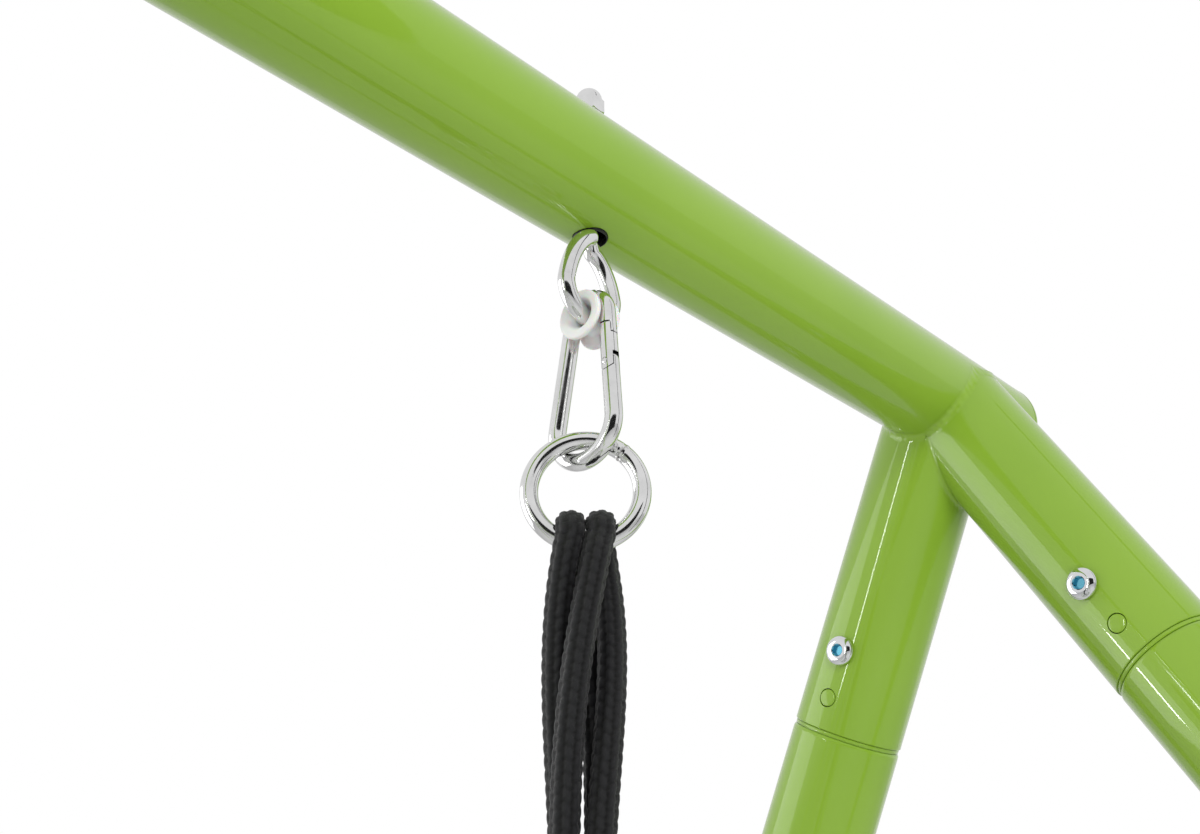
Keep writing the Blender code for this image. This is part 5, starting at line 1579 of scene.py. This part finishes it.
def make_sleeve(name, end):
    """Shrunk sleeve over the four strands, softly lobed by them, with rolled ends."""
    axis = sleeve_axis(end)
    sides = 96
    stations = np.linspace(0.0, 1.0, 60)
    angles = full_turn(sides)
    top = crossing(end, 1, -1, 1.0)
    start = math.atan2(top.y - axis.y, top.x - axis.x)
    rings = []
    for wall, order in ((0.0, stations), (SLEEVE_WALL, stations[::-1])):
        for share in order:
            edge = min(share, 1.0 - share) / 0.06
            lip = 0.0009 * math.sqrt(max(0.0, 1.0 - min(edge, 1.0) ** 2))
            turn = start - math.copysign(math.radians(45.0), end) * share
            lobes = 0.0009 * np.cos(4.0 * (angles - turn)) + 0.0002 * np.cos(3.0 * angles + 40.0 * share)
            radius = SLEEVE_RADIUS - wall - 0.0011 + lobes - lip
            height = BAR_HEIGHT - SLEEVE_TOP_DROP - share * (SLEEVE_BOTTOM_DROP - SLEEVE_TOP_DROP)
            rings.append(np.stack([axis.x + radius * np.cos(angles), axis.y + radius * np.sin(angles),
                                   np.full(sides, height)], -1))
    faces = list(quads(len(rings), sides, True))
    sleeve = new_piece(f"sleeve_{name}", np.vstack(rings), faces, BLACK_PLASTIC)
    place_piece(smooth(sleeve, 50.0), "nest", "black_plastic", f"rope_sleeve_{name}")


def make_ferrules():
    """Pressed oval ferrules that close the ropes' loops."""
    sides = 48
    rings = []
    for share in np.linspace(0.0, 1.0, 41):
        edge = min(share, 1.0 - share)
        shrink = 0.0016 * math.sqrt(max(0.0, 1.0 - min(edge / 0.06, 1.0) ** 2))
        press = 0.0005 * (0.5 + 0.5 * math.cos(math.tau * 4.0 * share)) * min(1.0, edge / 0.1)
        height = FERRULE_START + FERRULE_LENGTH * share
        rings.append([((FERRULE_HALF_WIDTH - shrink - press) * math.cos(a) * (1.0 - 0.03 * math.cos(2 * a)),
                       (FERRULE_HALF_DEPTH - shrink - press) * math.sin(a), height)
                      for a in full_turn(sides)])
    points = [p for ring in rings for p in ring]
    last = [len(points) - sides + k for k in range(sides)]
    faces = [*quads(len(rings), sides), list(range(sides)), last]
    pattern = smooth(new_piece("ferrule", points, faces), 50.0)
    places = []
    for end in ENDS.values():
        for loop in (-1, 1):
            for side in (-1, 1):
                leg, angle = strand_hold(loop, side)
                _, fan = strand_fan(end, loop, side)
                places.append(hold_axes(end, leg, angle, fan))
    ferrules = set_out("rope_ferrules", pattern, places, ALUMINIUM)
    return place_piece(ferrules, "nest", "zinc_plate")


for end_name, end_sign in ENDS.items():
    for loop_sign, loop_label in ((1, "front"), (-1, "rear")):
        make_rope(end_name, end_sign, loop_sign, loop_label)
    make_sleeve(end_name, end_sign)
make_ferrules()


# Nest


def dish_height(radius):
    """Height of the net's middle surface."""
    return RIM_HEIGHT - NET_SAG * (1.0 - (radius / NET_EDGE_RADIUS) ** 2)


def pad_radius(theta, phi):
    """Cut radius of the pad's cover: drawn in at each turn of the lacing, with a little unevenness."""
    near_turn = np.abs((theta / LACING_ANGLE) % 1.0 - 0.5) * LACING_ANGLE * RIM_RADIUS
    pinch = np.exp(-(near_turn / 0.0050) ** 2)
    free = 1.0 - np.exp(-(near_turn / 0.014) ** 2)
    radius = PAD_RADIUS - PAD_SLACK - (PAD_PINCH - PAD_SLACK) * pinch
    gathers = np.sin(9.0 * phi + 2.0 * np.sin(7.0 * theta)) * np.exp(-(near_turn / 0.010) ** 2)
    return radius + 0.00035 * gathers + 0.0004 * np.sin(3.0 * phi + 31.0 * theta) * free, near_turn


def pad_points(theta, phi, radius):
    """Points on the pad's cover from angles round the nest and round the rim."""
    out = RIM_RADIUS + radius * np.cos(phi)
    height = RIM_HEIGHT + radius * np.sin(phi)
    return np.stack(np.broadcast_arrays(out * np.cos(theta), out * np.sin(theta), height), -1)


def cloth_moves(phi):
    rows = PAD_STATIONS // PAD_REPEATS + 1
    theta = (LACING_ANGLE * 0.5 + np.arange(rows) * (math.tau / PAD_STATIONS))[:, None]
    radius, near_turn = pad_radius(theta, phi)
    start = pad_points(theta, phi, radius)
    cover = new_piece("pad_sector", start.reshape(-1, 3), list(quads(rows, phi.shape[1])))
    held = cover.vertex_groups.new(name="held")
    rows_held = np.nonzero(near_turn[:, 0] < PAD_HELD)[0]
    held.add([int(r * phi.shape[1] + c) for r in rows_held for c in range(phi.shape[1])], 1.0, "REPLACE")
    cloth = cover.modifiers.new("cover_cloth", "CLOTH")
    cloth.settings.quality = 6
    cloth.settings.mass = 0.25
    cloth.settings.tension_stiffness = 25.0
    cloth.settings.compression_stiffness = 25.0
    cloth.settings.shear_stiffness = 8.0
    cloth.settings.bending_stiffness = 0.08
    cloth.settings.air_damping = 4.0
    cloth.settings.vertex_group_mass = "held"
    cloth.settings.use_pressure = True
    cloth.settings.uniform_pressure_force = 3.0
    cloth.settings.shrink_min = -0.06
    cloth.settings.effector_weights.gravity = 0.0
    cloth.collision_settings.use_collision = False
    cloth.collision_settings.use_self_collision = False
    for step in range(1, CLOTH_FRAMES + 1):
        bpy.context.scene.frame_set(step)
    seen = cover.evaluated_get(bpy.context.evaluated_depsgraph_get())
    ended = np.zeros(len(seen.data.vertices) * 3, np.float32)
    seen.data.vertices.foreach_get("co", ended)
    move = ended.reshape(start.shape).astype(float) - start
    bpy.data.objects.remove(cover, do_unlink=True)
    bpy.context.scene.frame_set(1)
    out = np.stack([np.cos(theta), np.sin(theta), np.zeros_like(theta)], -1)
    along = np.stack([-np.sin(theta), np.cos(theta), np.zeros_like(theta)], -1)
    local = np.stack([(move * out).sum(-1), (move * along).sum(-1), move[..., 2]], -1)
    length = np.linalg.norm(local, axis=-1, keepdims=True)
    return (local * np.minimum(1.0, CLOTH_CAP / np.maximum(length, 1e-9)))[:-1]


def make_pad():
    """Foam pad in a sewn cover, creased by its lacing, with a seam underneath and four cross seams."""
    theta = full_turn(PAD_STATIONS)[:, None]
    phi = full_turn(PAD_SIDES)[None, :]
    radius, _ = pad_radius(theta, phi)
    points = pad_points(theta, phi, radius)
    repeated = np.tile(cloth_moves(phi), (PAD_REPEATS, 1, 1))
    move = np.roll(repeated, PAD_STATIONS // LACING_TURNS // 2, 0)
    points[..., 0] += move[..., 0] * np.cos(theta) - move[..., 1] * np.sin(theta)
    points[..., 1] += move[..., 0] * np.sin(theta) + move[..., 1] * np.cos(theta)
    points[..., 2] += move[..., 2]
    turn = np.arctan2(points[..., 1], points[..., 0])
    level = np.full_like(turn, RIM_HEIGHT / RIM_RADIUS)
    centre = RIM_RADIUS * np.stack([np.cos(turn), np.sin(turn), level], -1)
    from_centre = points - centre
    reach = np.linalg.norm(from_centre, axis=-1)
    seam = (phi - 1.5 * math.pi + math.pi) % math.tau - math.pi
    ridge = 0.0010 * np.exp(-(seam / 0.07) ** 2)
    ridge = ridge - 0.0006 * np.exp(-((np.abs(seam) - STITCH_ROW_ANGLE) / 0.06) ** 2)
    panel = (theta + 0.5 * LACING_ANGLE) / (0.25 * math.tau)
    cross = np.abs((panel + 0.5) % 1.0 - 0.5) * 0.5 * math.pi * RIM_RADIUS
    ridge = ridge + 0.0008 * np.exp(-(cross / 0.0016) ** 2)
    ridge = ridge - 0.0006 * np.exp(-((cross - 0.005) / 0.0018) ** 2)
    kept = np.clip(reach, PAD_RADIUS - PAD_PINCH - 0.0006, PAD_RADIUS - 0.0001) + ridge
    points = centre + from_centre * (kept / reach)[..., None]
    faces = list(quads(PAD_STATIONS, PAD_SIDES, True))
    pad = new_piece("pad_cover", points.reshape(-1, 3), faces, PAD_CLOTH)
    mesh = pad.data
    corners = np.zeros(len(mesh.loops), int)
    mesh.loops.foreach_get("vertex_index", corners)
    row, column = corners // PAD_SIDES, corners % PAD_SIDES
    first_row = np.repeat(row.reshape(-1, 4).max(1), 4)
    first_column = np.repeat(column.reshape(-1, 4).max(1), 4)
    row = np.where((first_row == PAD_STATIONS - 1) & (row == 0), PAD_STATIONS, row)
    column = np.where((first_column == PAD_SIDES - 1) & (column == 0), PAD_SIDES, column)
    pairs = np.stack([row * (math.tau * RIM_RADIUS / PAD_STATIONS),
                      column * (math.tau * PAD_RADIUS / PAD_SIDES)], -1)
    layer = mesh.uv_layers.new(name="UVMap")
    layer.data.foreach_set("uv", pairs.reshape(-1).astype(np.float32))
    mesh.shade_smooth()
    place_piece(pad, "nest", "pad_fabric", "rim_pad")
    make_pad_stitches()


def make_pad_stitches():
    """Lock stitches beside the pad's long seam."""
    stitch = []
    for share in np.linspace(-0.5, 0.5, 9):
        stitch.append((STITCH_LENGTH * share, 0.0, 0.00035 * math.cos(math.pi * share)))
    pattern = swept("stitch", np.array(stitch), round_section(0.0004, 6), Y_AXIS, None)
    smooth(pattern, 60.0)
    places = []
    seat = PAD_RADIUS - STITCH_SINK
    for row in (-STITCH_ROW_ANGLE, STITCH_ROW_ANGLE):
        phi = -0.5 * math.pi + row
        out = RIM_RADIUS + seat * math.cos(phi)
        for index in range(STITCHES_IN_ROW):
            theta = math.tau * (index + 0.5) / STITCHES_IN_ROW
            at = (out * math.cos(theta), out * math.sin(theta), RIM_HEIGHT + seat * math.sin(phi))
            away = Vector((math.cos(phi) * math.cos(theta), math.cos(phi) * math.sin(theta), math.sin(phi)))
            places.append(frame_at(at, away, (-math.sin(theta), math.cos(theta), 0.0)))
    stitches = set_out("pad_stitches", pattern, places, THREAD)
    place_piece(stitches, "nest", "pad_fabric")


def make_border():
    """Braided border rope of the net."""
    count = int(math.tau * BORDER_RADIUS / 0.0014)
    theta = full_turn(count)
    height = np.full(count, dish_height(BORDER_RADIUS))
    path = np.stack([BORDER_RADIUS * np.cos(theta), BORDER_RADIUS * np.sin(theta), height], -1)
    whole = math.tau * BORDER_RADIUS
    pitch = STRAND_PITCH * BORDER_CORD_RADIUS / ROPE_RADIUS
    fitted = round(whole / pitch) * pitch
    run = theta / math.tau * fitted
    border = plaited("net_border", path, run, Z_AXIS, BORDER_CORD_RADIUS, ROPE, closed=True)
    place_piece(border, "nest", "net_cord")


def net_cord_route(offset, index, family):
    """One net cord: over and under the others, and a turn round the border rope at each end."""
    half = math.sqrt(BORDER_RADIUS ** 2 - offset ** 2) - 0.010
    sign = 1.0 if family == 0 else -1.0

    def at(p, q, lift):
        """A point of the net from its place in the grid."""
        x, y = (p, q) if family == 0 else (q, p)
        height = dish_height(math.hypot(x, y)) + lift
        cosine, sine = math.cos(NET_TURN), math.sin(NET_TURN)
        return np.array([x * cosine - y * sine, x * sine + y * cosine, height])

    steps = int(2.0 * half / 0.004)
    body = []
    for q in np.linspace(-half, half, steps + 1):
        wave = sign * NET_WAVE * math.cos(math.pi * q / NET_SPACING + math.pi * index)
        ease = min(1.0, (half - abs(q)) / 0.012)
        body.append(at(offset, q, wave * ease + 0.0045 * (1.0 - ease)))
    ends = []
    for way in (-1, 1):
        spot = at(offset, way * math.sqrt(BORDER_RADIUS ** 2 - offset ** 2), 0.0)
        radial = spot * np.array([1.0, 1.0, 0.0]) / np.linalg.norm(spot[:2])
        along = np.cross(Z_AXIS, radial)
        reach = BORDER_CORD_RADIUS + NET_CORD_RADIUS
        lap = []
        for angle in np.linspace(0.35, math.tau + 0.5, 26):
            rise = np.array([0.0, 0.0, reach * math.sin(angle)])
            walk = along * (NET_LAP_WALK * angle / math.tau)
            lap.append(spot + radial * (-reach * math.cos(angle)) + rise + walk)
        ends.append(lap)
    return np.array(ends[0][::-1] + body + ends[1])


def make_net():
    """Woven cords of the net."""
    routes = []
    for family in (0, 1):
        for index in range(-NET_LINES, NET_LINES + 1):
            routes.append(net_cord_route(index * NET_SPACING, index, family))
    net = laid("net_cords", routes, NET_CORD_RADIUS, 10, NET_CORD)
    place_piece(net, "nest", "net_cord", "nest_net")


def lacing_walk(share):
    """How far a turn of the lacing has walked towards a neighbour, in turns: only near its two ends."""
    if share > 0.5:
        t = min(max((share - (1.0 - LACING_WALK)) / (2.0 * LACING_WALK), 0.0), 0.5)
        return t * t * (3.0 - 2.0 * t)
    t = min(max((share + LACING_WALK) / (2.0 * LACING_WALK), 0.5), 1.0)
    return t * t * (3.0 - 2.0 * t) - 1.0


def make_lacing():
    """Lacing that draws the net's border to the padded rim, turn by turn."""
    border_z = dish_height(BORDER_RADIUS) - RIM_HEIGHT
    pad_reach = PAD_RADIUS - PAD_PINCH + LACING_RADIUS
    border_reach = BORDER_CORD_RADIUS + LACING_RADIUS
    pad_at = np.array([RIM_RADIUS, 0.0])
    border_at = np.array([BORDER_RADIUS, border_z])
    span = border_at - pad_at
    length = np.linalg.norm(span)
    heading = math.atan2(span[1], span[0])
    open_angle = math.acos((pad_reach - border_reach) / length)
    belt = []
    for angle in np.linspace(heading - open_angle, heading + open_angle - math.tau, 25):
        belt.append(pad_at + pad_reach * np.array([math.cos(angle), math.sin(angle)]))
    for angle in np.linspace(heading + open_angle, heading - open_angle, 9):
        belt.append(border_at + border_reach * np.array([math.cos(angle), math.sin(angle)]))
    belt = np.array(belt[::-1])
    lengths = run_along(belt)
    middle = 0.5 * (lengths[0] + lengths[8])
    steps = 64
    route = []
    for turn in range(LACING_TURNS):
        for step in range(steps):
            share = step / steps
            spot = (middle + share * lengths[-1]) % lengths[-1]
            out, height = points_at(spot, lengths, belt)
            theta = LACING_ANGLE * (turn + 0.5 + lacing_walk(share))
            route.append((out * math.cos(theta), out * math.sin(theta), RIM_HEIGHT + height))
    lacing = laid("net_lacing", [route], LACING_RADIUS, 8, NET_CORD)
    place_piece(lacing, "nest", "net_cord")


make_pad()
make_border()
make_net()
make_lacing()
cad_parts["nest_rim"].data.materials.clear()
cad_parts["nest_rim"].data.materials.append(RIM_STEEL)


# Floor, backdrop and light


HANG_POINT = Vector((0.474, 0.0, 1.82))
CARD_DISTANCE = 1.30
MIRRORED_WHITE = 0.80
SOFT_LEVEL = 0.60
FLOOR_FADE = (1.8, 6.0)
FLOOR_SIZE = 60.0


def make_card(name, azimuth, low, high, half_width, grey, glow=0.0):
    """A card seen only in reflections, a painted reflection that lights and shades nothing, glowing if given
    a glow; upright round the hanger; angles in degrees as seen from there.
    """
    turn = math.radians(azimuth)
    way = Vector((math.cos(turn), math.sin(turn), 0.0))
    aside = Vector((-way.y, way.x, 0.0))
    middle = HANG_POINT + way * CARD_DISTANCE
    reach = CARD_DISTANCE * math.tan(math.radians(half_width))
    foot, head = (CARD_DISTANCE * math.tan(math.radians(angle)) for angle in (low, high))
    corners = [middle + aside * side * reach + UP * rise
               for side, rise in ((-1, foot), (1, foot), (1, head), (-1, head))]
    finish = new_finish(name, (grey, grey, grey), 1.0)
    if glow:
        shader_input(finish, "Emission Color").default_value = (1.0, 1.0, 1.0, 1.0)
        shader_input(finish, "Emission Strength").default_value = glow
    card = new_piece(name, corners, [(0, 1, 2, 3)], finish, check_normals=False)
    card.visible_camera = False
    card.visible_diffuse = False
    card.visible_transmission = False
    card.visible_volume_scatter = False
    card.visible_shadow = False


def make_lamp(name, at, target, size, power, mirrored=False):
    """A rectangular area lamp turned to a target; mirrored ones also show in reflections."""
    lamp = bpy.data.lights.new(name, "AREA")
    lamp.shape = "RECTANGLE"
    lamp.size, lamp.size_y = size
    lamp.energy = power
    thing = bpy.data.objects.new(name, lamp)
    bpy.context.scene.collection.objects.link(thing)
    thing.visible_glossy = mirrored
    thing.rotation_mode = "QUATERNION"
    thing.location = at
    thing.rotation_quaternion = (Vector(target) - Vector(at)).to_track_quat("-Z", "Y")
    return thing


def keep_off(lamp, floor):
    """Keep a low lamp's light off the floor, so that it leaves no bright patch there."""
    unlit = bpy.data.collections.new("not_lit_from_below")
    unlit.objects.link(floor)
    unlit.collection_objects[0].light_linking.link_state = "EXCLUDE"
    lamp.light_linking.receiver_collection = unlit


def make_world():
    """White to the camera and through clear things, a little darker in mirrors, soft as light."""
    world = bpy.data.worlds.new("studio")
    bpy.context.scene.world = world
    world.use_nodes = True
    tree = world.node_tree
    soft = tree.nodes["Background"]
    soft.inputs["Color"].default_value = (1.0, 1.0, 1.0, 1.0)
    soft.inputs["Strength"].default_value = SOFT_LEVEL
    white = tree.nodes.new("ShaderNodeBackground")
    white.inputs["Color"].default_value = (1.0, 1.0, 1.0, 1.0)
    white.inputs["Strength"].default_value = 1.0
    ray = tree.nodes.new("ShaderNodeLightPath")
    seen = tree.nodes.new("ShaderNodeMath")
    seen.operation = "MAXIMUM"
    mirrored = tree.nodes.new("ShaderNodeMath")
    mirrored.operation = "MULTIPLY_ADD"
    mirrored.inputs[1].default_value = (MIRRORED_WHITE - SOFT_LEVEL) / (1.0 - SOFT_LEVEL)
    mix = tree.nodes.new("ShaderNodeMixShader")
    tree.links.new(ray.outputs["Is Camera Ray"], seen.inputs[0])
    tree.links.new(ray.outputs["Is Transmission Ray"], seen.inputs[1])
    tree.links.new(ray.outputs["Is Glossy Ray"], mirrored.inputs[0])
    tree.links.new(seen.outputs[0], mirrored.inputs[2])
    tree.links.new(mirrored.outputs[0], mix.inputs[0])
    tree.links.new(soft.outputs[0], mix.inputs[1])
    tree.links.new(white.outputs[0], mix.inputs[2])
    tree.links.new(mix.outputs[0], tree.nodes["World Output"].inputs["Surface"])


def pale_floor():
    """Pale grey under the set, fading to the white of the surround where the camera sees it far off."""
    made = new_finish("pale_floor", (0.80, 0.80, 0.80), 0.7)
    place = node(made, "ShaderNodeTexCoord")
    away = node(made, "ShaderNodeVectorMath", operation="LENGTH")
    wire(made, place.outputs["Object"], away.inputs[0])
    far = spread(made, away.outputs["Value"], *FLOOR_FADE)
    ray = node(made, "ShaderNodeLightPath")
    white = node(made, "ShaderNodeEmission")
    mix = node(made, "ShaderNodeMixShader")
    wire(made, calculate(made, "MULTIPLY", far, ray.outputs["Is Camera Ray"]), mix.inputs[0])
    wire(made, made.node_tree.nodes["Principled BSDF"].outputs[0], mix.inputs[1])
    wire(made, white.outputs[0], mix.inputs[2])
    wire(made, mix.outputs[0], made.node_tree.nodes["Material Output"].inputs["Surface"])
    return made


def make_stage():
    """A pale floor, the surround, soft lamps, two thin strips for streaks, and cards that put painted
    reflections into the metal.
    """
    bpy.ops.mesh.primitive_plane_add(size=FLOOR_SIZE, location=(0.0, 0.0, 0.0))
    floor = bpy.context.object
    floor.name = "floor"
    floor.data.materials.append(pale_floor())
    make_world()
    make_lamp("key_lamp", (-1.6, -2.4, 3.4), (0.5, 0.0, 1.8), (1.2, 1.2), 46.0)
    make_lamp("fill_lamp", (3.6, -3.4, 2.6), (0.6, 0.0, 1.7), (1.8, 1.8), 36.0)
    make_lamp("back_lamp", (0.0, 2.8, 3.2), (0.5, 0.0, 1.8), (1.6, 1.0), 22.0)
    low_lamp = make_lamp("low_lamp", (-0.4, -1.8, 0.55), (0.5, 0.0, 1.8), (1.2, 0.6), 13.0)
    keep_off(low_lamp, floor)
    make_lamp("left_strip", (-1.50, 0.44, 1.86), (0.76, 0.03, 1.87), (0.070, 0.60), 2.6, True)
    make_lamp("rear_strip", (-0.22, 1.04, 1.64), (0.77, -0.09, 1.77), (0.060, 0.16), 0.9, True)
    # Painted reflections: a near-black card and a thin grey one, and a pale card that glows though it is no
    # lamp.
    make_card("dark_card", 223.0, -14.0, 17.0, 33.0, 0.012)
    make_card("pale_card", 118.0, -16.0, 26.0, 22.0, 0.8, 1.9)
    make_card("thin_dark_card", 290.0, -30.0, 60.0, 3.0, 0.05)


make_stage()
bpy.context.scene.view_settings.view_transform = "Standard"
